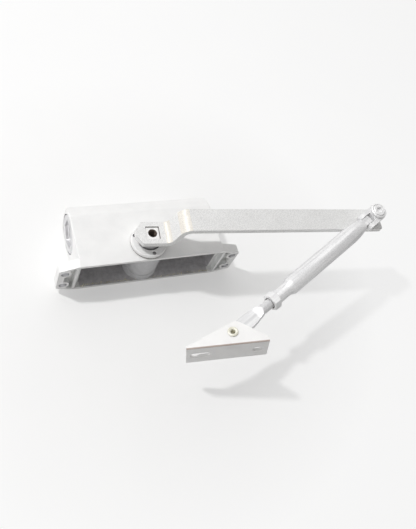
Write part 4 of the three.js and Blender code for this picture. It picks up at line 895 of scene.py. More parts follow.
@dataclass(frozen=True)
class RawCasting:
    """Unpainted skin of the casting; inside its recess the dark tone is partly painted shade."""

    name: str = "raw_casting_painted_shade"
    light: Colour = (0.62, 0.61, 0.62)
    dark: Colour = (0.42, 0.415, 0.425)
    metallic: float = 0.3
    mottle: float = 4.0
    grain: float = 0.5
    grain_depth: float = 0.12
    pitting: float = 3.0
    pitting_depth: float = 0.25
    gloss: Tuple[float, float] = (0.5, 0.72)

    def material(self) -> Finish:
        """Material with mottled tone and a granular, pitted skin."""
        recipe = Recipe(self.name)
        mottle = recipe.noise(self.mottle, 6, 0.65)
        tone = recipe.ramp(mottle, 0.32, self.dark, 0.68, self.light)
        skin = recipe.relief(recipe.noise(self.grain, 5, 0.7), self.grain_depth, 0.8)
        skin = recipe.relief(recipe.noise(self.pitting, 2), self.pitting_depth, 0.5, skin)
        return recipe.done(tone, recipe.roughness(mottle, self.gloss), skin, self.metallic)


@dataclass(frozen=True)
class SpeckledPaint:
    """Silver lacquer with visible flake on the steel arm."""

    name: str = "speckled_paint"
    light: Colour = (0.87, 0.87, 0.865)
    dark: Colour = (0.82, 0.82, 0.815)
    cloud: float = 14.0
    speck: float = 0.8
    speck_tone: Colour = (0.5, 0.5, 0.5)
    speck_share: float = 0.35
    peel: float = 0.6
    peel_depth: float = 0.04
    gloss: Tuple[float, float] = (0.36, 0.5)
    metallic: float = 0.12

    def material(self) -> Finish:
        """Material with coarse flake over a cloudy tone."""
        recipe = Recipe(self.name)
        cloud = recipe.noise(self.cloud, 5, 0.6)
        tone = recipe.ramp(cloud, 0.3, self.dark, 0.7, self.light)
        specks = recipe.ramp(recipe.noise(self.speck, 2, 0.8), 0.42, self.speck_tone, 0.58, WHITE)
        tone = recipe.darkened(tone, self.speck_share, specks)
        peel = recipe.relief(recipe.noise(self.peel, 3, 0.7), self.peel_depth)
        return recipe.done(tone, recipe.roughness(cloud, self.gloss), peel, self.metallic)


@dataclass(frozen=True)
class Plating:
    """Zinc plating on steel, bright or yellow, with marks drawn along a direction."""

    name: str
    light: Colour
    dark: Colour
    along: Vector
    gloss: Tuple[float, float] = (0.42, 0.58)
    metallic: float = 0.25
    grain: float = 0.08
    grain_tone: Colour = (0.4, 0.4, 0.41)
    drawn_out: float = 0.05

    def material(self) -> Finish:
        """Material with long streaks, fine grain, cloudy roughness and drawing marks."""
        recipe = Recipe(self.name)
        along = recipe.stretched(self.along, (self.drawn_out, 1, 1))
        streaks = recipe.noise(3, 5, 0.6, along)
        tone = recipe.ramp(streaks, 0.35, self.dark, 0.62, self.light)
        grain = recipe.ramp(recipe.noise(0.9, 2, 0.8), 0.42, self.grain_tone, 0.6, WHITE)
        tone = recipe.darkened(tone, self.grain, grain)
        marks = recipe.relief(recipe.noise(0.35, 3, 0.6, along), 0.02)
        return recipe.done(tone, recipe.roughness(recipe.noise(9, 4), self.gloss), marks, self.metallic)


@dataclass(frozen=True)
class MachinedMetal:
    """Bare turned or ground metal."""

    name: str
    light: Colour
    dark: Colour
    gloss: Tuple[float, float] = (0.22, 0.4)
    metallic: float = 1.0
    mark: float = 0.5
    mark_depth: float = 0.015

    def material(self) -> Finish:
        """Material with fine tool marks across the axis."""
        recipe = Recipe(self.name)
        along = recipe.stretched(Vector((1, 0, 0)), (0.15, 0.15, 1.6))
        marks = recipe.noise(self.mark, 4, 0.6, along)
        tone = recipe.ramp(recipe.noise(5, 4), 0.3, self.dark, 0.7, self.light)
        relief = recipe.relief(marks, self.mark_depth)
        return recipe.done(tone, recipe.roughness(marks, self.gloss), relief, self.metallic)


@dataclass(frozen=True)
class SealRubber:
    """Black moulded rubber."""

    name: str = "seal_rubber"
    light: Colour = (0.035, 0.035, 0.037)
    dark: Colour = (0.015, 0.015, 0.016)
    gloss: Tuple[float, float] = (0.6, 0.8)

    def material(self) -> Finish:
        """Material with dull bloom."""
        recipe = Recipe(self.name)
        bloom = recipe.noise(2.5, 4)
        tone = recipe.ramp(bloom, 0.35, self.dark, 0.7, self.light)
        return recipe.done(tone, recipe.roughness(bloom, self.gloss), recipe.relief(recipe.noise(0.4), 0.02))


class Shop:
    """Every finish of the closer, made once."""

    def __init__(self, joints: Joints) -> None:
        """Mixes the finishes.

        Args:
            joints: places of the joints, which give the drawn marks their direction.
        """
        along = joints.axis("rod_adjust")

        def plated(name: str, light: Colour, dark: Colour, **more: object) -> Finish:
            """Zinc plating drawn along the forearm."""
            return Plating(name, light, dark, along, **more).material()

        def machined(name: str, light: Colour, dark: Colour, **more: object) -> Finish:
            """Bare metal."""
            return MachinedMetal(name, light, dark, **more).material()

        self.paint = SilverPaint().material()
        self.sheet_paint = SilverPaint("sheet_paint", (0.90, 0.895, 0.888), (0.84, 0.835, 0.83)).material()
        self.fold_paint = SilverPaint("fold_paint", (0.58, 0.49, 0.45), (0.46, 0.37, 0.33)).material()
        self.arm_paint = SpeckledPaint().material()
        # cream tint on the arm's bends is painted warm shade
        self.bend_painted_shade = SpeckledPaint("bend_painted_shade", (0.88, 0.85, 0.79), (0.82, 0.785, 0.72)).material()
        # dark tone of the recess: partly the bare casting, partly painted shade
        self.raw = RawCasting().material()
        self.skin = RawCasting("cast_skin", (0.84, 0.845, 0.835), (0.72, 0.725, 0.72), 0.05).material()
        # tone of the pinion boss in the recess: partly the bare casting, partly painted shade
        self.boss = RawCasting("boss_skin_painted_shade", (0.60, 0.60, 0.61), (0.50, 0.50, 0.51), 0.2).material()
        self.zinc = plated("bright_zinc", (0.93, 0.93, 0.935), (0.82, 0.82, 0.825))
        self.tube_zinc = plated("tube_zinc", (0.94, 0.94, 0.945), (0.70, 0.70, 0.71), gloss=(0.36, 0.5),
                                metallic=0.35, grain=0.26)
        self.rod_zinc = plated("rod_zinc", (0.80, 0.80, 0.805), (0.60, 0.60, 0.61), metallic=0.3)
        self.burr = plated("burr_metal", (0.92, 0.88, 0.72), (0.42, 0.38, 0.26), gloss=(0.3, 0.6))
        self.yellow_zinc = plated("yellow_zinc", (0.86, 0.85, 0.77), (0.66, 0.64, 0.52))
        self.square = machined("bright_square", (0.90, 0.895, 0.885), (0.84, 0.835, 0.83),
                               gloss=(0.4, 0.55), metallic=0.2)
        self.alloy = machined("cast_alloy", (0.80, 0.80, 0.81), (0.62, 0.62, 0.63), gloss=(0.3, 0.45))
        self.steel = machined("machined_steel", (0.72, 0.72, 0.73), (0.52, 0.52, 0.53))
        # dark brown inside bores, holes and gaps is painted shade
        self.bore = machined("bore_painted_shade", (0.16, 0.13, 0.11), (0.07, 0.055, 0.045), gloss=(0.4, 0.6))
        self.spring = machined("spring_steel", (0.22, 0.22, 0.24), (0.12, 0.12, 0.13))
        self.bronze = machined("bearing_bronze", (0.58, 0.42, 0.22), (0.42, 0.29, 0.15))
        self.rubber = SealRubber().material()


# ---------------------------------------------------------------- sub-assemblies

def shown(piece: Object, body: str, slot: str, *nodes: str) -> None:
    """Puts a finished piece on its body.

    Args:
        piece: the object.
        body: body that it rides on.
        slot: material slot of the record, which is not used.
        nodes: solids that it stands for.
    """
    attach(piece, body)
    if nodes:
        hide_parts(*nodes)
    LOG.info("piece %s: %d faces on %s", piece.name, len(piece.data.polygons), body)


@dataclass
class BodyCasting:
    """Die-cast body with two ears, open towards the door."""

    joints: Joints
    shop: Shop
    left: float = 59.1
    right: float = 64.9
    height: float = 39.6
    depth: float = 60.5
    crown: float = 2.0
    bevel_depth: float = 11.5
    bevel_drop: float = 5.4
    bevel_round: float = 6.4
    end_round: float = 0.8
    soft: float = 0.35
    ear_length: float = 16.1
    ear_thickness: float = 7.7
    ear_corner: float = 2.2
    hole_pitch: float = 19.0
    hole_radius: float = 3.25
    boss_radius: float = 5.2
    pocket_depth: float = 5.0
    pocket_wall: float = 1.7
    pocket_corner: float = 1.0
    rib: float = 2.0
    mouth: float = 0.4  # how far the recess's opening runs past the body's ends
    mouth_step: float = 0.03  # keeps the opening's long walls off the recess's own
    recess_wall: float = 2.6
    recess_end_wall: float = 3.1
    recess_depth: float = 27.0
    recess_round: float = 1.2
    bore_y: float = 41.3
    bore_radius: float = 16.2
    barrel_wall: float = 3.0
    plug_radius: float = 17.1
    plug_length: float = 11.0
    pinion_bore: float = 13.9
    pinion_boss: float = 14.9
    foot_step: float = 0.5
    foot_height: float = 7.0
    foot_round: float = 0.4
    valve_y: float = 24.3
    valve_z: float = 14.3
    valve_bore: float = 3.4
    valve_boss: float = 5.6
    valve_depth: float = 19.0
    valve_boss_length: float = 20.0
    burr_count: int = 120
    burr_spread: Tuple[float, float, float] = (0.9, 1.6, 0.5)
    burr_least: Tuple[float, float, float] = (0.1, 0.1, 0.1)
    burr_most: Tuple[float, float, float] = (1.0, 0.6, 0.6)
    burr_offset: Tuple[float, float] = (0.5, 0.1)  # in from the door plane and down from the edge

    @property
    def half(self) -> float:
        """Half of the body's height."""
        return self.height / 2

    @property
    def ear_half(self) -> float:
        """Half of an ear's height at its end."""
        return self.hole_pitch / 2 + self.boss_radius

    @property
    def recess_left(self) -> float:
        """Left end of the recess."""
        return -self.left + self.recess_end_wall

    @property
    def recess_right(self) -> float:
        """Right end of the recess."""
        return self.right - self.recess_end_wall

    @property
    def pinion_y(self) -> float:
        """Pinion's distance from the door."""
        return self.joints.point("arm_swing").y

    def outline(self) -> List[Point]:
        """Section of the body as (depth, height) points."""
        shoulder_depth = self.depth - self.crown
        shoulder = self.half - self.bevel_drop
        flat = shoulder_depth - self.bevel_depth
        bow = [(shoulder_depth + 4 * self.crown * share * (1 - share), shoulder * (2 * share - 1))
               for share in shares(24)]
        low = rounded([(0, -self.half), (flat, -self.half, self.bevel_round), bow[0]])
        high = [(y, -z) for y, z in reversed(low)]
        return low[:-1] + bow + high[1:]

    def flange_half(self, beyond: float) -> float:
        """Half height of an ear at a distance beyond the body's end."""
        return self.half - (self.half - self.ear_half) * beyond / self.ear_length

    def holes(self) -> List[Point]:
        """Centre of each mounting hole, as (x, z)."""
        beyond = self.ear_length - self.boss_radius
        ends = (-self.left - beyond, self.right + beyond)
        return [(x, z) for x in ends for z in (-self.hole_pitch / 2, self.hole_pitch / 2)]

    def ears(self) -> Form:
        """Mounting flange behind the body with an ear beyond each end."""
        far_left, far_right = -self.left - self.ear_length, self.right + self.ear_length
        r = self.ear_corner
        corners = [
            (-self.ear_half, far_left, r), (-self.half, -self.left, r), (-self.half, self.right, r),
            (-self.ear_half, far_right, r), (self.ear_half, far_right, r), (self.half, self.right, r),
            (self.half, -self.left, r), (self.ear_half, far_left, r),
        ]
        return Form.prism(rounded(corners, 6), Axis.Y, 0, self.ear_thickness, self.shop.paint)

    def pocket(self, side: int) -> Form:
        """Relief between the two screw bosses of an ear.

        Args:
            side: -1 for the left ear, 1 for the right.

        Returns:
            Tool that cuts it.
        """
        skin = self.shop.skin
        end = self.left if side < 0 else self.right
        inner = self.mouth + self.rib
        outer = self.ear_length - self.boss_radius
        inner_half = self.flange_half(inner) - self.pocket_wall
        outer_half = self.hole_pitch / 2 + self.boss_radius / 2
        corners = [
            (-inner_half, side * (end + inner), self.pocket_corner),
            (inner_half, side * (end + inner), self.pocket_corner),
            (outer_half, side * (end + outer)), (-outer_half, side * (end + outer)),
        ]
        room = Form.prism(rounded(corners), Axis.Y, -OVERRUN, self.pocket_depth, skin)
        here = [(x, z) for x, z in self.holes() if x * side > 0]
        return room.cut(*self.at_holes(here, self.boss_radius, -2 * OVERRUN, self.ear_thickness, skin))

    def at_holes(self, holes: List[Point], radius: float, low: float, high: float,
                 finish: Finish) -> List[Form]:
        """Bars on the axes of some mounting holes."""
        return [Form.bar(radius, Axis.Y, low, high, finish, Facets.SMALL).moved(x, 0, z) for x, z in holes]

    def at_valves(self, radius: float, low: float, high: float, finish: Finish) -> List[Form]:
        """Bars on the axes of the two valves."""
        return [Form.bar(radius, Axis.X, low, high, finish, Facets.SMALL).moved(0, self.valve_y, z)
                for z in (-self.valve_z, self.valve_z)]

    def recess(self) -> Form:
        """Open space on the door side, round the barrel, the pinion boss and the valve bosses."""
        # the recess walls, barrel and bosses take dark tones that are partly painted shade
        raw, shell = self.shop.raw, self.shop.boss
        half, inner = self.half, self.half - self.recess_wall
        room = Form.block((self.recess_left, -OVERRUN, -inner),
                          (self.recess_right, self.recess_depth, inner), raw)
        mouth_half = inner - self.mouth_step
        mouth = Form.block((-self.left - self.mouth, -1.5 * OVERRUN, -mouth_half),
                           (self.right + self.mouth, self.pocket_depth, mouth_half), self.shop.skin)
        room = room.softened(self.recess_round).joined(mouth)
        barrel = Form.bar(self.bore_radius + self.barrel_wall, Axis.X, -self.left, self.right, raw,
                          Facets.LARGE)
        boss = Form.bar(self.pinion_boss, Axis.Z, -half - OVERRUN, half + OVERRUN, shell, Facets.LARGE)
        foot = Form.bar(self.pinion_boss + self.foot_step, Axis.Z, -half, -inner + self.foot_height, shell,
                        Facets.LARGE).softened(self.foot_round)
        valves = self.at_valves(self.valve_boss, self.recess_right - self.valve_boss_length, self.right, raw)
        return room.cut(barrel.moved(0, self.bore_y), boss.moved(0, self.pinion_y),
                        foot.moved(0, self.pinion_y), *valves)

    def drillings(self) -> List[Form]:
        """Tools for the bores and the screw holes."""
        beyond = self.half + OVERRUN
        alloy = self.shop.alloy
        left, right = -self.left - OVERRUN, self.right + OVERRUN
        plug_left, plug_right = -self.left + self.plug_length, self.right - self.plug_length
        across = [
            (self.bore_radius, plug_left - OVERRUN, plug_right + OVERRUN),
            (self.plug_radius, left, plug_left), (self.plug_radius, plug_right, right),
        ]
        tools = [Form.bar(radius, Axis.X, low, high, alloy, Facets.LARGE).moved(0, self.bore_y)
                 for radius, low, high in across]
        pinion = Form.bar(self.pinion_bore, Axis.Z, -beyond, beyond, alloy, Facets.LARGE)
        return [
            *tools, pinion.moved(0, self.pinion_y),
            *self.at_holes(self.holes(), self.hole_radius, -OVERRUN, self.ear_thickness + OVERRUN, alloy),
            *self.at_valves(self.valve_bore, self.right - self.valve_depth, right, alloy),
        ]

    def burrs(self, tree: BurrTree) -> None:
        """Burrs left by the mould along the recess's lower edge.

        Args:
            tree: tree that strews them.
        """
        depth, drop = self.burr_offset
        start = Matrix.Translation((self.recess_left, depth, -self.half + self.recess_wall - drop))
        length = self.recess_right - self.recess_left
        sizes = {"Spread": self.burr_spread, "Least": self.burr_least, "Most": self.burr_most}
        metres = {name: tuple(side * MM for side in size) for name, size in sizes.items()}
        piece = tree.piece("edge_burrs", start, self.shop.burr, Length=length * MM, Count=self.burr_count,
                           Seed=4, **metres)
        shown(piece, "closer_body", "silver_paint")

    def build(self) -> None:
        """Casting with its painted outside and raw recess, whose dark tone is partly painted shade."""
        body = Form.prism(self.outline(), Axis.X, -self.left, self.right, self.shop.paint)
        body = body.softened(self.end_round).joined(self.ears())
        form = body.cut(self.recess(), self.pocket(-1), self.pocket(1), *self.drillings())
        piece = form.finished("body_casting", Matrix.Identity(4), self.soft)
        shown(piece, "closer_body", "silver_paint", "housing")


@dataclass
class EndPlug:
    """Threaded plug with a hexagon key recess."""

    shop: Shop
    radius: float = 16.5
    length: float = 11.0
    chamfer: float = 0.7
    socket: float = 22.0
    socket_depth: float = 3.0
    socket_turn: float = -40.0  # in degrees
    soft: float = 0.3

    def build(self, side: int) -> None:
        """Plug of one end.

        Args:
            side: -1 for the left end, 1 for the right.
        """
        label = "left" if side < 0 else "right"
        low, high = box(f"end_plug_{label}")
        middle = (low + high) / 2
        inner = Vector((high.x if side < 0 else low.x, middle.y, middle.z))
        alloy = self.shop.alloy
        body = Form.bar(self.radius, Axis.X, 0, self.length, alloy, Facets.LARGE).softened(self.chamfer, 2)
        key = Form.prism(hexagon(self.socket, self.socket_turn), Axis.X, self.length - self.socket_depth,
                         self.length + OVERRUN, alloy)
        turn = Matrix.Rotation(math.pi, 4, "Z") if side < 0 else Matrix.Identity(4)
        piece = body.cut(key).finished(f"plug_{label}", Matrix.Translation(inner) @ turn, self.soft)
        shown(piece, "closer_body", "cast_alloy", f"end_plug_{label}")


@dataclass
class PinionGroup:
    """Spindle with its teeth and its square, and the gland round its upper journal."""

    joints: Joints
    shop: Shop
    coils: CoilTree
    module: float = 1.5
    teeth: int = 16
    pressure: float = 20.0  # in degrees
    addendum: float = 1.3
    dedendum: float = 1.45
    backlash: float = 0.4
    face: float = 17.2
    journal: float = 8.5
    journal_chamfer: float = 0.5
    square: float = 10.9
    square_drop: float = 0.6
    square_corner: float = 1.0
    square_edge: float = 0.2
    soft: float = 0.08
    hole: float = 3.25
    hole_depth: float = 14.0
    hole_chamfer: float = 0.5
    hole_point: float = 1.0
    thread_pitch: float = 1.0
    thread_wire: float = 0.28
    flange: float = 15.2
    flange_height: float = 4.5
    foot_step: float = 0.15
    foot_height: float = 0.8
    foot_overlap: float = 0.1
    line_depth: float = 0.5
    skirt: float = 13.6
    skirt_wall: float = 1.1
    lip: float = 9.3
    lip_height: float = 2.7
    lip_chamfer: float = 0.5
    chamfer: float = 0.8
    seal_seat: float = 11.2
    seal_height: float = 7.0
    spanner_holes: int = 3
    spanner_circle: float = 12.6
    spanner_radius: float = 1.6
    spanner_depth: float = 2.6
    spanner_start: float = 155.0  # place of the first hole, in degrees

    @property
    def place(self) -> Matrix:
        """Pinion's frame: on its axis, at the part's mid-height."""
        return Matrix.Translation(self.joints.level("arm_swing"))

    @property
    def pitch_radius(self) -> float:
        """Radius of the pinion's pitch circle."""
        return self.module * self.teeth / 2

    @property
    def base_radius(self) -> float:
        """Radius of the circle that the involutes start on."""
        return self.pitch_radius * math.cos(math.radians(self.pressure))

    def tooth_half(self, radius: float) -> float:
        """Half the angle that a tooth takes up.

        Args:
            radius: distance from the pinion's axis.

        Returns:
            The angle in radians.
        """
        pressure = math.radians(self.pressure)
        here = math.acos(min(1.0, self.base_radius / radius))
        at_pitch = (math.pi * self.module - self.backlash) / 4 / self.pitch_radius
        return at_pitch + math.tan(pressure) - pressure - math.tan(here) + here

    def gear(self) -> List[Point]:
        """Involute outline of the pinion, with one tooth on +Y."""
        base, tip = self.base_radius, self.pitch_radius + self.addendum
        flank = [self.pitch_radius - self.dedendum] + [base + (tip - base) * step / 6 for step in range(7)]
        points: List[Point] = []
        for tooth in range(self.teeth):
            middle = math.pi / 2 + 2 * math.pi * tooth / self.teeth
            for side, radii in ((-1, flank), (1, flank[::-1])):
                for radius in radii:
                    angle = middle + side * self.tooth_half(max(radius, base))
                    points.append((radius * math.cos(angle), radius * math.sin(angle)))
        return points

    def tapped_hole(self, top: float) -> Form:
        """Tool for the hole in the square.

        Args:
            top: height of the square's end.

        Returns:
            The tool.
        """
        bottom, over = top - self.hole_depth, top + OVERRUN
        wall, mouth = self.hole, self.hole + self.hole_chamfer
        profile = [
            (0, bottom), (wall, bottom + self.hole_point), (wall, top - self.hole_chamfer), (mouth, top),
            (mouth, over), (0, over),
        ]
        return Form.turned(profile, Axis.Z, self.shop.bore, Facets.SMALL)

    def spindle(self) -> None:
        """Journals, teeth and square with the tapped hole."""
        bottom, top = heights("pinion_shaft")
        top -= self.square_drop
        journal_top = heights("main_arm")[0] - GAP
        half, corner = self.square / 2, self.square_corner
        steel = self.shop.steel
        heading = self.joints.heading("arm_swing", "elbow_swivel")
        turn = Matrix.Rotation(math.atan2(heading.y, heading.x), 4, "Z")
        journal = Form.bar(self.journal, Axis.Z, bottom, journal_top, steel)
        gear = Form.prism(self.gear(), Axis.Z, -self.face / 2, self.face / 2, steel)
        corners = [(-half, -half, corner), (half, -half, corner), (half, half, corner), (-half, half, corner)]
        square = Form.prism(rounded(corners, 6), Axis.Z, journal_top - OVERRUN, top, self.shop.square)
        square = square.softened(self.square_edge, 2).placed(turn)
        form = journal.softened(self.journal_chamfer, 2).joined(gear, square).cut(self.tapped_hole(top))
        shown(form.finished("pinion_spindle", self.place, self.soft), "arm", "machined_steel", "pinion_shaft")
        start = self.place @ Matrix.Translation((0, 0, top - self.hole_depth + 2 * self.hole_point))
        length = self.hole_depth - 3 * self.hole_point
        thread = self.coils.coil("spindle_thread", start, self.hole, length, length / self.thread_pitch,
                                 self.thread_wire, self.shop.bore)
        shown(thread, "arm", "machined_steel")

    def spanner_cuts(self, top: float) -> List[Form]:
        """Tools for the spanner holes, down from a height."""
        places = ring(self.spanner_circle, self.spanner_holes, math.radians(self.spanner_start))
        # the spanner holes' walls take the dark recess tone, partly painted shade
        return [Form.bar(self.spanner_radius, Axis.Z, top - self.spanner_depth, top + OVERRUN, self.shop.raw,
                         Facets.TINY).moved(x, y) for x, y in places]

    def gland(self) -> None:
        """Retaining ring with its spanner holes."""
        bottom, top = (corner.z for corner in box("gland_upper"))
        seat = top - self.flange_height
        inner = self.skirt - self.skirt_wall
        neck, foot = self.skirt - self.line_depth, self.flange - self.foot_step
        edge = seat + self.foot_height
        over = edge + self.foot_overlap
        shelf, roof = top - self.lip_height, bottom + self.seal_height
        # dark band at the flange's foot: a painted shade line
        shadow_line = Form.turned([(neck, seat), (foot, seat), (foot, over), (neck, over)], Axis.Z,
                                  self.shop.bore, Facets.LARGE)
        body = Form.turned([
            (inner, bottom), (self.skirt, bottom), (self.skirt, edge), (self.flange, edge),
            (self.flange, top - self.chamfer), (self.flange - self.chamfer, top),
            (self.lip + self.lip_chamfer, top), (self.lip, top - self.lip_chamfer), (self.lip, shelf),
            (self.seal_seat, shelf), (self.seal_seat, roof), (inner, roof),
        ], Axis.Z, self.shop.paint, Facets.LARGE)
        form = body.joined(shadow_line).cut(*self.spanner_cuts(top))
        shown(form.finished("gland_ring", self.place), "closer_body", "cast_alloy", "gland_upper")


@dataclass
class MainArm:
    """Flat steel arm with a joggle between its hub and its bar."""

    joints: Joints
    shop: Shop
    hub_thickness: float = 5.0
    hub_left: float = 14.1
    nose: float = 4.8
    nose_round: float = 1.0
    hub_corner: float = 8.8
    bar_thickness: float = 4.6
    bar_width: float = 20.2
    lower_bend: float = 13.5
    upper_bend: float = 20.5
    lower_radius: float = 5.0
    upper_radius: float = 10.0
    beyond_elbow: float = 9.3
    end_radius: float = 1.8
    square: float = 11.2
    elbow_hole: float = 4.3
    soft: float = 0.35
    # the warm tint on the bends is painted shade
    bend_reach: Tuple[float, float] = (4.0, 8.0)  # of the warm tint, before and after the bends
    bend_steepness: Tuple[float, float] = (0.4, 0.995)  # of the faces that take it

    def side(self, bottom: float, top: float, end: float) -> List[Point]:
        """Outline of the arm from the side, as (height, station) points.

        Args:
            bottom: height of the hub's underside.
            top: height of the bar's upper face.
            end: station of the bar's end.

        Returns:
            Points of the outline.
        """
        hub_top, bar_bottom = bottom + self.hub_thickness, top - self.bar_thickness
        slope = math.atan2(top - hub_top, self.upper_bend - self.lower_bend)
        lower = self.lower_bend + self.hub_thickness * math.tan(slope / 2)
        upper = self.upper_bend + self.bar_thickness * math.tan(slope / 2)
        return rounded([
            (hub_top, -self.hub_left), (hub_top, self.lower_bend, self.lower_radius),
            (top, self.upper_bend, self.upper_radius), (top, end), (bar_bottom, end),
            (bar_bottom, upper, self.upper_radius - self.bar_thickness),
            (bottom, lower, self.lower_radius + self.hub_thickness), (bottom, -self.hub_left),
        ], 16)

    def plan(self, end: float) -> List[Point]:
        """Outline of the arm from above, out to a station."""
        edge = [
            (-self.hub_left, self.nose / 2, self.nose_round),
            (-self.hub_corner, self.bar_width / 2, self.nose_round),
            (end, self.bar_width / 2, self.end_radius),
        ]
        return rounded(edge + [(x, -y, radius) for x, y, radius in reversed(edge)], 6)

    def on_bend(self, centre: Vector, normal: Vector) -> bool:
        """Whether a face lies on the slope between the hub and the bar.

        Args:
            centre: middle of the face.
            normal: direction that it faces.

        Returns:
            True on the slope.
        """
        low, high = self.bend_steepness
        before, after = self.bend_reach
        sloping = low < normal.z < high and abs(normal.x) > 0.1
        return sloping and self.lower_bend - before < centre.x < self.upper_bend + after

    def build(self) -> None:
        """The arm."""
        paint, bore = self.shop.arm_paint, self.shop.bore
        bottom, top = (corner.z for corner in box("main_arm"))
        reach = (self.joints.level("elbow_swivel") - self.joints.level("arm_swing")).length
        end = reach + self.beyond_elbow
        half = self.square / 2
        strip = Form.prism(self.side(bottom, top, end), Axis.Y, -self.bar_width, self.bar_width, paint)
        strip = strip.shared(Form.prism(self.plan(end), Axis.Z, 0, top + OVERRUN, paint))
        hole = Form.block((-half, -half, 0), (half, half, bottom + self.hub_thickness + OVERRUN), bore)
        pin = Form.bar(self.elbow_hole, Axis.Z, top - self.bar_thickness - OVERRUN, top + OVERRUN, bore,
                       Facets.SMALL)
        # the slope between hub and bar takes the painted warm shade
        strip = strip.cut(hole, pin.moved(reach)).tinted(self.shop.bend_painted_shade, self.on_bend)
        frame_at_hub = self.joints.level_frame("arm_swing", "arm_swing", "elbow_swivel")
        piece = strip.finished("arm_strip", frame_at_hub, self.soft)
        shown(piece, "arm", "silver_painted_steel", "main_arm")


@dataclass
class Elbow:
    """Knuckle that swivels on the arm's end, with its screw, washer and cross pin."""

    joints: Joints
    shop: Shop
    barrel: float = 7.6
    width: float = 14.6
    cheek: float = 5.0
    screw: float = 4.0
    screw_chamfer: float = 0.6
    screw_clearance: float = 0.25
    head: float = 5.5
    head_height: float = 1.8
    key: float = 5.0
    key_depth: float = 2.4
    washer: float = 7.2
    washer_chamfer: float = 0.7
    pin: float = 2.5
    pin_round: float = 0.4
    slot: float = 7.5
    soft: float = 0.4
    screw_soft: float = 0.2

    def frame(self) -> Matrix:
        """Elbow's frame: from the elbow's axis towards the cross pin."""
        return self.joints.level_frame("elbow_swivel", "elbow_swivel", "forearm_tilt")

    def pin_offset(self) -> float:
        """Distance from the elbow's axis to the cross pin."""
        return (self.joints.level("forearm_tilt") - self.joints.level("elbow_swivel")).length

    def knuckle(self) -> None:
        """Barrel with two cheeks."""
        zinc = self.shop.zinc
        bottom, top = (corner.z for corner in box("elbow_knuckle"))
        offset, height = self.pin_offset(), self.joints.point("forearm_tilt").z
        half, gap = self.width / 2, self.slot / 2
        under, over = bottom - OVERRUN, top + OVERRUN
        barrel = Form.bar(self.barrel, Axis.Z, bottom, top, zinc)
        side = tongue_outline(height, offset, self.cheek, 180, 0, 0)
        cheeks = Form.prism(side, Axis.Y, -half, half, zinc)
        slot = Form.block((self.barrel, -gap, under), (offset + self.cheek + OVERRUN, gap, over), zinc)
        bore = Form.bar(self.screw + self.screw_clearance, Axis.Z, under, over, zinc, Facets.SMALL)
        hole = Form.bar(self.pin + GAP, Axis.Y, -half - OVERRUN, half + OVERRUN, self.shop.bore, Facets.SMALL)
        form = barrel.joined(cheeks).cut(slot, bore, hole.moved(offset, 0, height))
        piece = form.finished("knuckle", self.frame(), self.soft)
        shown(piece, "elbow", "zinc_plated_steel", "elbow_knuckle")

    def cross_pin(self) -> None:
        """Pin that the forearm tilts on."""
        half = self.width / 2 + GAP
        pin = Form.bar(self.pin, Axis.Y, -half, half, self.shop.steel, Facets.SMALL).softened(self.pin_round)
        pin.moved(self.pin_offset(), 0, self.joints.point("forearm_tilt").z)
        shown(pin.finished("cross_pin", self.frame(), 0), "elbow", "machined_steel", "tilt_pin")

    def fastening(self) -> None:
        """Socket screw and washer, which turn with the arm."""
        place = self.joints.level_frame("elbow_swivel", "arm_swing", "elbow_swivel")
        zinc = self.shop.zinc
        bottom, top = heights("elbow_screw")
        seat, cut = top - self.head_height, self.screw_chamfer
        screw = Form.turned([
            (0, bottom), (self.screw - cut, bottom), (self.screw, bottom + cut), (self.screw, seat),
            (self.head, seat), (self.head, top - cut), (self.head - cut, top), (0, top),
        ], Axis.Z, zinc, Facets.FAIR)
        key = Form.prism(hexagon(self.key), Axis.Z, top - self.key_depth, top + OVERRUN, zinc)
        piece = screw.cut(key).finished("elbow_bolt", place, self.screw_soft)
        shown(piece, "arm", "zinc_plated_steel", "elbow_screw")
        bottom, top = heights("elbow_washer")
        floor, cut = seat - GAP, self.washer_chamfer
        bore, well, rim = self.screw + GAP, self.head + GAP, self.washer
        washer = Form.turned([
            (bore, bottom), (rim - cut, bottom), (rim, bottom + cut), (rim, top - cut), (rim - cut, top),
            (well, top), (well, floor), (bore, floor),
        ], Axis.Z, zinc, Facets.FAIR)
        piece = washer.finished("elbow_collar", place, self.screw_soft)
        shown(piece, "arm", "zinc_plated_steel", "elbow_washer")

    def build(self) -> None:
        """Knuckle, pin, screw and washer."""
        self.knuckle()
        self.cross_pin()
        self.fastening()


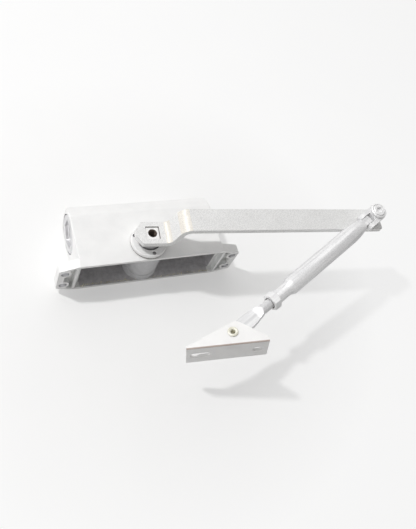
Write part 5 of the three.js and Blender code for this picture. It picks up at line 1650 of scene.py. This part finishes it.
@dataclass
class Forearm:
    """Swelled tube with its lock nut and adjusting rod."""

    joints: Joints
    shop: Shop
    coils: CoilTree
    start: float = 6.4
    length: float = 109.2
    radius: float = 7.5
    mouth: float = 5.2
    swell: float = 18.6
    neck: float = 11.6
    neck_radius: float = 5.5
    neck_chamfer: float = 0.5
    taper: float = 6.0
    tongue: float = 7.0
    tongue_round: float = 4.2
    tongue_soft: float = 0.5
    pin: float = 2.75
    bore_depth: float = 53.6
    bore_point: float = 2.0
    nut_flats: float = 13.0
    nut_height: float = 6.5
    nut_chamfer: float = 0.6
    rod: float = 3.95
    rod_bore: float = 4.3
    rod_in_tube: float = 43.6
    beyond_nut: float = 9.6
    forged: float = 6.5
    forged_round: float = 3.0
    flat_length: float = 25.6
    eye: float = 6.2
    eye_thickness: float = 4.6
    eye_hole: float = 3.0
    thread_pitch: float = 1.25
    thread_wire: float = 0.3
    thread_sunk: float = 0.1
    thread_in_nut: float = 3.0
    tube_soft: float = 0.2
    rod_soft: float = 0.35

    @property
    def end(self) -> float:
        """Tube's far end, from the cross pin."""
        return self.start + self.length

    @property
    def nut_end(self) -> float:
        """Far face of the lock nut."""
        return self.end + GAP + self.nut_height

    @property
    def flat_start(self) -> float:
        """Where the rod begins to flatten."""
        return self.nut_end + self.beyond_nut

    @property
    def flat_full(self) -> float:
        """Where the rod is flat."""
        return self.flat_start + self.forged

    @property
    def eye_at(self) -> float:
        """Middle of the rod's eye."""
        return self.flat_full + self.flat_length

    def frame(self) -> Matrix:
        """Forearm's frame: from the cross pin along the rod."""
        along = self.joints.axis("rod_adjust")
        across = -self.joints.axis("forearm_tilt")
        up = along.cross(across).normalized()
        return Placement(self.joints.point("forearm_tilt"), along, up).matrix()

    def rod_frame(self) -> Matrix:
        """Rod's frame: its eye lies flat on the bracket's plate."""
        return Placement(self.joints.point("forearm_tilt"), self.joints.axis("rod_adjust"),
                         self.joints.axis("bracket_pivot")).matrix()

    def tube_profile(self) -> List[Point]:
        """Half section of the tube and its bore, as (radius, station) points."""
        neck_start, bore_start = self.end - self.neck, self.end - self.bore_depth
        profile = [(0, self.start)]
        for share in shares(12):
            swelling = (self.radius - self.mouth) * math.sin(share * math.pi / 2)
            profile.append((self.mouth + swelling, self.start + self.swell * share))
        for share in shares(8):
            ease = share * share * (3 - 2 * share)
            profile.append((self.radius + (self.neck_radius - self.radius) * ease,
                            neck_start - self.taper * (1 - share)))
        cut = self.neck_chamfer
        return profile + [
            (self.neck_radius, self.end - cut), (self.neck_radius - cut, self.end), (self.rod_bore, self.end),
            (self.rod_bore, bore_start), (0, bore_start - self.bore_point),
        ]

    def tube(self) -> None:
        """Tube with its tongue and threaded bore."""
        zinc = self.shop.tube_zinc
        half = self.tongue / 2
        body = Form.turned(self.tube_profile(), Axis.X, zinc)
        side = tongue_outline(0, 0, self.tongue_round, 180, 360, self.start + OVERRUN)
        tongue = Form.prism(side, Axis.Y, -half, half, zinc).softened(self.tongue_soft)
        hole = Form.bar(self.pin, Axis.Y, -half - OVERRUN, half + OVERRUN, zinc, Facets.SMALL)
        piece = body.joined(tongue).cut(hole).finished("swelled_tube", self.frame(), self.tube_soft)
        shown(piece, "forearm", "zinc_plated_steel", "forearm_tube")

    def nut(self) -> None:
        """Hexagon lock nut."""
        zinc = self.shop.zinc
        low, high = self.end + GAP, self.nut_end
        below, above = low - OVERRUN, high + OVERRUN
        flat = self.nut_flats / 2
        corner = flat / math.cos(math.pi / 6)
        cone = (corner - flat) * math.tan(math.pi / 6)
        blank = Form.turned([(0, low), (flat, low), (corner, low + cone), (corner, high - cone), (flat, high),
                             (0, high)], Axis.X, zinc, Facets.LARGE)
        sides = Form.prism(hexagon(self.nut_flats), Axis.X, below, above, zinc)
        bore, cut = self.rod_bore, self.nut_chamfer
        hole = Form.turned([
            (0, below), (bore + OVERRUN, below), (bore + cut, low), (bore, low + cut), (bore, high - cut),
            (bore + cut, high), (bore + OVERRUN, above), (0, above),
        ], Axis.X, self.shop.bore, Facets.FAIR)
        piece = blank.shared(sides).cut(hole).finished("hexagon_nut", self.frame())
        shown(piece, "nut", "zinc_plated_steel", "lock_nut")

    def rod_plan(self) -> List[Point]:
        """Plan outline of the rod's flattened end, which widens along a curve to its eye."""
        full = self.eye_at - 2 * self.eye
        edge: List[Point] = [(self.flat_start - OVERRUN, self.rod)]
        for share in shares(12):
            one, two = (1 - share) ** 3, 3 * share * (1 - share) ** 2
            three, four = 3 * share * share * (1 - share), share ** 3
            edge.append((one * self.flat_start + (two + three) * self.flat_full + four * full,
                         (one + two) * self.rod + (three + four) * self.eye))
        return [(x, -y) for x, y in edge] + arc(self.eye_at, 0, self.eye, -90, 90, 32) + edge[::-1]

    def rod_end(self) -> Form:
        """Forged flat of the rod, with its eye."""
        zinc = self.shop.rod_zinc
        half, wide = self.eye_thickness / 2, self.eye + OVERRUN
        begin, start = self.flat_start - OVERRUN, self.flat_start
        full, end = self.flat_full, self.eye_at + wide
        side = rounded([
            (-self.rod, begin), (-self.rod, start), (-half, full, self.forged_round), (-half, end),
            (half, end), (half, full, self.forged_round), (self.rod, start), (self.rod, begin),
        ])
        envelope = Form.turned([(0, begin), (self.rod, begin), (self.rod, start), (wide, full), (wide, end),
                                (0, end)], Axis.X, zinc, Facets.SMALL)
        flat = Form.prism(self.rod_plan(), Axis.Z, -self.rod, self.rod, zinc)
        return flat.shared(Form.prism(side, Axis.Y, -wide, wide, zinc), envelope)

    def adjusting_rod(self) -> None:
        """Rod with its flat end, its eye and its thread."""
        zinc = self.shop.rod_zinc
        beyond = self.eye_thickness / 2 + OVERRUN
        shank = Form.bar(self.rod, Axis.X, self.end - self.rod_in_tube, self.flat_start, zinc, Facets.SMALL)
        hole = Form.bar(self.eye_hole, Axis.Z, -beyond, beyond, zinc, Facets.SMALL).moved(self.eye_at)
        form = shank.joined(self.rod_end()).cut(hole)
        piece = form.finished("threaded_rod", self.rod_frame(), self.rod_soft)
        shown(piece, "rod", "zinc_plated_steel", "adjusting_rod")
        start = self.nut_end - self.thread_in_nut
        length = self.flat_start - OVERRUN - start
        place = self.rod_frame() @ Matrix.Translation((start, 0, 0)) @ Axis.X.matrix()
        thread = self.coils.coil("rod_thread", place, self.rod - self.thread_sunk, length,
                                 length / self.thread_pitch, self.thread_wire, zinc)
        shown(thread, "rod", "zinc_plated_steel")

    def build(self) -> None:
        """Tube, nut and rod."""
        self.tube()
        self.nut()
        self.adjusting_rod()


@dataclass
class FrameBracket:
    """Folded sheet bracket with two slots, its hollow rivet and washer."""

    joints: Joints
    shop: Shop
    heading: float = 144.3  # of the fold, from the rod's direction, in degrees
    sheet: float = 2.5
    left: float = 36.6
    right: float = 26.6
    flange: float = 23.4
    eye: float = 6.2
    eye_thickness: float = 4.6
    eye_to_flange: float = 1.7
    left_edge: float = 2.2
    right_edge: float = 3.9
    apex: Tuple[float, float, float] = (3.5, 9.9, 6.0)  # plate's far corner and its radius
    bend: float = 1.2
    corner: float = 1.2
    slot_width: float = 6.4
    slot_height: float = 11.2
    long_slot: Tuple[float, float] = (16.2, 2.9)
    short_slot: Tuple[float, float] = (8.2, 4.1)
    rivet: float = 2.7
    rivet_head: float = 4.1
    rivet_edge: float = 0.5
    rivet_tail: float = 1.0
    head_height: float = 1.0
    hollow: float = 1.7
    hollow_depth: float = 6.5
    washer: float = 5.0
    washer_thickness: float = 1.0
    washer_round: float = 0.2
    soft: float = 0.3
    rivet_soft: float = 0.1

    @property
    def top(self) -> float:
        """Plate's upper face, above the middle of the rod's eye."""
        return self.eye_thickness / 2 + GAP + self.sheet

    @property
    def inner(self) -> float:
        """Flange's face towards the eye."""
        return -self.eye - self.eye_to_flange

    def frame(self) -> Matrix:
        """Bracket's frame: rivet along z, fold along x."""
        up = self.joints.axis("bracket_pivot")
        along = Matrix.Rotation(math.radians(self.heading), 3, up) @ self.joints.axis("rod_adjust")
        return Placement(self.joints.point("bracket_pivot"), along.normalized(), up).matrix()

    def blank(self) -> Form:
        """Folded sheet in its outline, without its holes."""
        paint = self.shop.sheet_paint
        top, low, bottom = self.top, self.top - self.sheet, self.top - self.flange
        inner, outer = self.inner, self.inner - self.sheet
        far = self.apex[1] + OVERRUN
        section = rounded([(outer, bottom), (outer, top, self.bend), (far, top), (far, low),
                           (inner, low, self.bend / 2), (inner, bottom)])
        plan = rounded([
            (-self.left, outer - OVERRUN), (self.right, outer - OVERRUN),
            (self.right, outer + self.right_edge, self.corner), self.apex,
            (-self.left, outer + self.left_edge, self.corner),
        ], 12)
        sheet = Form.prism(section, Axis.X, -self.left, self.right, paint)
        return sheet.shared(Form.prism(plan, Axis.Z, bottom - OVERRUN, top + OVERRUN, paint))

    def slots(self) -> List[Form]:
        """Tools for the two slots: each is (length, distance from its end of the flange)."""
        (long, left), (short, right) = self.long_slot, self.short_slot
        height = self.top - self.flange + self.slot_height
        near, far = -self.inner - OVERRUN, -self.inner + self.sheet + OVERRUN
        lay = Matrix.Rotation(math.pi / 2, 4, "X")
        tools = []
        for x, length in ((-self.left + left + long / 2, long), (self.right - right - short / 2, short)):
            outline = slot_outline(x, height, length, self.slot_width)
            tools.append(Form.prism(outline, Axis.Z, near, far, self.shop.sheet_paint).placed(lay))
        return tools

    def on_flange(self, centre: Vector, normal: Vector) -> bool:
        """Whether a face lies on the fold's round, above the flange."""
        return normal.z > 0.2 and normal.y < -0.2 and centre.y < self.inner

    def plate(self) -> None:
        """Folded sheet with its holes."""
        hole = Form.bar(self.rivet + GAP, Axis.Z, self.top - self.sheet - OVERRUN, self.top + OVERRUN,
                        self.shop.sheet_paint, Facets.SMALL)
        sheet = self.blank().cut(*self.slots(), hole).tinted(self.shop.fold_paint, self.on_flange)
        piece = sheet.finished("angle_plate", self.frame(), self.soft)
        shown(piece, "bracket", "silver_painted_steel", "frame_bracket")

    def fastening(self) -> None:
        """Hollow rivet and its washer."""
        head = self.top + GAP
        top, floor = head + self.head_height, head + self.head_height - self.hollow_depth
        tail = -self.eye_thickness / 2 - self.washer_thickness - 2 * GAP
        end, edge = tail - self.rivet_tail, self.rivet_edge
        shank, wide, hollow = self.rivet, self.rivet_head, self.hollow
        rivet = Form.turned([
            (0, end), (wide - edge, end), (wide, end + edge), (wide, tail), (shank, tail), (shank, head),
            (wide, head), (wide, top - edge), (wide - edge, top - 0.1), (wide - 1, top), (shank, top - 0.1),
            (hollow + 0.2, top - 0.6), (hollow, top - 1.2), (hollow, floor), (0, floor),
        ], Axis.Z, self.shop.yellow_zinc, Facets.SMALL)
        piece = rivet.finished("hollow_rivet", self.frame(), self.rivet_soft)
        shown(piece, "bracket", "yellow_zinc_steel", "bracket_rivet")
        low, high = tail + GAP, tail + GAP + self.washer_thickness
        inner = self.rivet + GAP
        washer = Form.turned([(inner, low), (self.washer, low), (self.washer, high), (inner, high)],
                             Axis.Z, self.shop.zinc, Facets.SMALL).softened(self.washer_round, 2)
        shown(washer.finished("eye_washer", self.frame(), 0), "bracket", "zinc_plated_steel", "rivet_washer")

    def build(self) -> None:
        """Sheet, rivet and washer."""
        self.plate()
        self.fastening()


@dataclass
class MainSpring:
    """Coil spring, which shortens in the closer as the piston slides; here it keeps its rest length."""

    shop: Shop
    coils: CoilTree
    travel: float = 34.6
    wire: float = 1.5
    turns: float = 9.0

    def build(self) -> None:
        """Coil at its rest length, between the left plug and the piston's head."""
        low, high = box("main_spring")
        middle, length = (low + high) / 2, high.x - low.x
        radius = (high.y - low.y) / 2 - self.wire
        start = Matrix.Translation((low.x + self.wire, middle.y, middle.z))
        along = Matrix.Rotation(math.pi / 2, 4, "Y")
        piece = self.coils.coil("power_spring", start @ along, radius, length - 2 * self.wire, self.turns,
                                self.wire, self.shop.spring)
        shown(piece, "closer_body", "spring_steel", "main_spring")
        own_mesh(piece)


class HiddenSolids:
    """Solids of the mechanism that keep their own shape and take a finish."""

    def __init__(self, shop: Shop) -> None:
        """Chooses a finish for each node.

        Args:
            shop: the finishes.
        """
        nodes: Dict[str, Tuple[str, ...]] = {
            "alloy": ("cap_lower",),
            "steel": ("piston", "check_ball", "thrust_washer_upper", "thrust_washer_lower"),
            "bronze": ("piston_ring", "bearing_upper", "bearing_lower"),
            "spring": ("check_clip",),
            "zinc": ("valve_screw_upper", "valve_screw_lower"),
            "rubber": ("shaft_seal", "plug_seal_left", "plug_seal_right", "valve_seal_upper",
                       "valve_seal_lower"),
        }
        self.finishes = {name: getattr(shop, finish) for finish, names in nodes.items() for name in names}

    def build(self) -> None:
        """Dresses every node."""
        for name, finish in self.finishes.items():
            materials = frame["nodes"][name].data.materials
            materials.clear()
            materials.append(finish)
            LOG.info("node %s dressed", name)


# ---------------------------------------------------------------- studio

class Lamp(Enum):
    """Square soft lamps: place in metres, side in metres and power in watts."""

    KEY = ((-0.68, 0.42, 1.15), 0.08, 10.0)
    NEAR = ((-0.15, 0.05, 0.55), 0.35, 0.2)
    SIDE = ((-1.0, -0.2, 0.15), 0.6, 1.9)
    BACK = ((0.0, 0.75, 1.0), 1.2, 2.5)

    def lit(self, target: Vector) -> None:
        """Puts the lamp in the scene.

        Args:
            target: point that it is turned to, in metres.
        """
        place, size, power = self.value
        light = bpy.data.lights.new(self.name.lower(), "AREA")
        light.size = size
        light.energy = power
        lamp = in_scene(light.name, light)
        lamp.location = place
        lamp.rotation_euler = (target - Vector(place)).to_track_quat("-Z", "Y").to_euler()


@dataclass
class Studio:
    """Pale floor, soft lamps and the camera."""

    camera_place: Tuple[float, float, float] = (-161.6, -216.0, 460.8)
    camera_way: Tuple[float, float, float] = (0.3929, 0.3884, -0.8336)
    camera_up: Tuple[float, float, float] = (0.1089, 0.8804, 0.4615)
    lens: float = 42.98
    sensor: float = 36.0
    clip: Tuple[float, float] = (0.01, 20.0)
    lit_point: Tuple[float, float, float] = (0.05, 0.0, 0.0)
    floor_size: float = 3.0
    floor_drop: float = 0.0002
    floor_light: Colour = (0.92, 0.918, 0.913)
    floor_dark: Colour = (0.90, 0.898, 0.893)
    floor_roughness: float = 0.8
    floor_white: Tuple[float, float] = (0.32, 0.75)  # share of plain white near the part and far off
    floor_reach: Tuple[float, float] = (80.0, 230.0)  # between these distances it changes
    tint: Colour = (1.0, 0.99, 0.975)
    front: Tuple[float, float] = (-0.7, 0.2)
    back: Tuple[float, float] = (0.5, 0.42)
    backdrop: float = 0.85  # brightness that the eye sees

    def floor(self) -> None:
        """Floor sheet just under the part."""
        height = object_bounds()[0][2] - self.floor_drop
        mesh = bpy.data.meshes.new("floor")
        with edited(mesh) as built:
            bmesh.ops.create_grid(built, x_segments=2, y_segments=2, size=self.floor_size / 2)
            built.transform(Matrix.Translation((0, 0, height)))
        recipe = Recipe("pale_floor")
        tone = recipe.ramp(recipe.noise(60, 3), 0.3, self.floor_dark, 0.7, self.floor_light)
        mesh.materials.append(recipe.done(tone, self.floor_roughness))
        recipe.whitened(*self.floor_white, self.floor_reach)
        in_scene("floor", mesh)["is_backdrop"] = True

    def camera(self) -> None:
        """Camera above the part's left front."""
        data = bpy.data.cameras.new("camera")
        data.lens = self.lens
        data.sensor_width = self.sensor
        data.sensor_fit = "AUTO"
        data.clip_start, data.clip_end = self.clip
        back = -Vector(self.camera_way).normalized()
        right = Vector(self.camera_up).cross(back).normalized()
        turn = Matrix((right, back.cross(right), back)).transposed().to_4x4()
        camera = in_scene("camera", data)
        camera.matrix_world = Matrix.Translation(Vector(self.camera_place) * MM) @ turn
        bpy.context.scene.camera = camera

    def world(self) -> None:
        """Pale surroundings, darker on the viewer's side: front and back are (direction, strength)."""
        world = bpy.data.worlds.new("studio")
        world.use_nodes = True
        graph = Graph(world.node_tree)
        way = graph.node("ShaderNodeTexCoord").outputs["Generated"]
        parts = graph.node("ShaderNodeSeparateXYZ", Vector=way)
        (low, dim), (high, bright) = self.front, self.back
        strength = graph.band(parts.outputs["Y"], low, high, dim, bright)
        pale = graph.arithmetic("MULTIPLY", graph.seen(), self.backdrop)
        background = graph.tree.nodes["Background"].inputs
        graph.feed(background["Color"], self.tint)
        graph.feed(background["Strength"], graph.arithmetic("MAXIMUM", pale, strength))
        bpy.context.scene.world = world

    def build(self) -> None:
        """Sets the whole studio."""
        self.camera()
        self.floor()
        self.world()
        for lamp in Lamp:
            lamp.lit(Vector(self.lit_point))
        bpy.context.scene.view_settings.view_transform = "Standard"


# ---------------------------------------------------------------- assembly

def main() -> None:
    """Builds and dresses the closer, sub-assembly by sub-assembly."""
    logging.basicConfig(level=logging.INFO, format="%(name)s %(message)s")
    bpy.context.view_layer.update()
    joints = Joints(frame["joints"])
    shop = Shop(joints)
    coils = CoilTree()
    Studio().build()
    casting = BodyCasting(joints, shop)
    casting.build()
    casting.burrs(BurrTree())
    EndPlug(shop).build(-1)
    EndPlug(shop).build(1)
    pinion = PinionGroup(joints, shop, coils)
    pinion.spindle()
    pinion.gland()
    MainArm(joints, shop).build()
    Elbow(joints, shop).build()
    Forearm(joints, shop, coils).build()
    FrameBracket(joints, shop).build()
    MainSpring(shop, coils).build()
    HiddenSolids(shop).build()


if __name__ == "__main__":
    main()
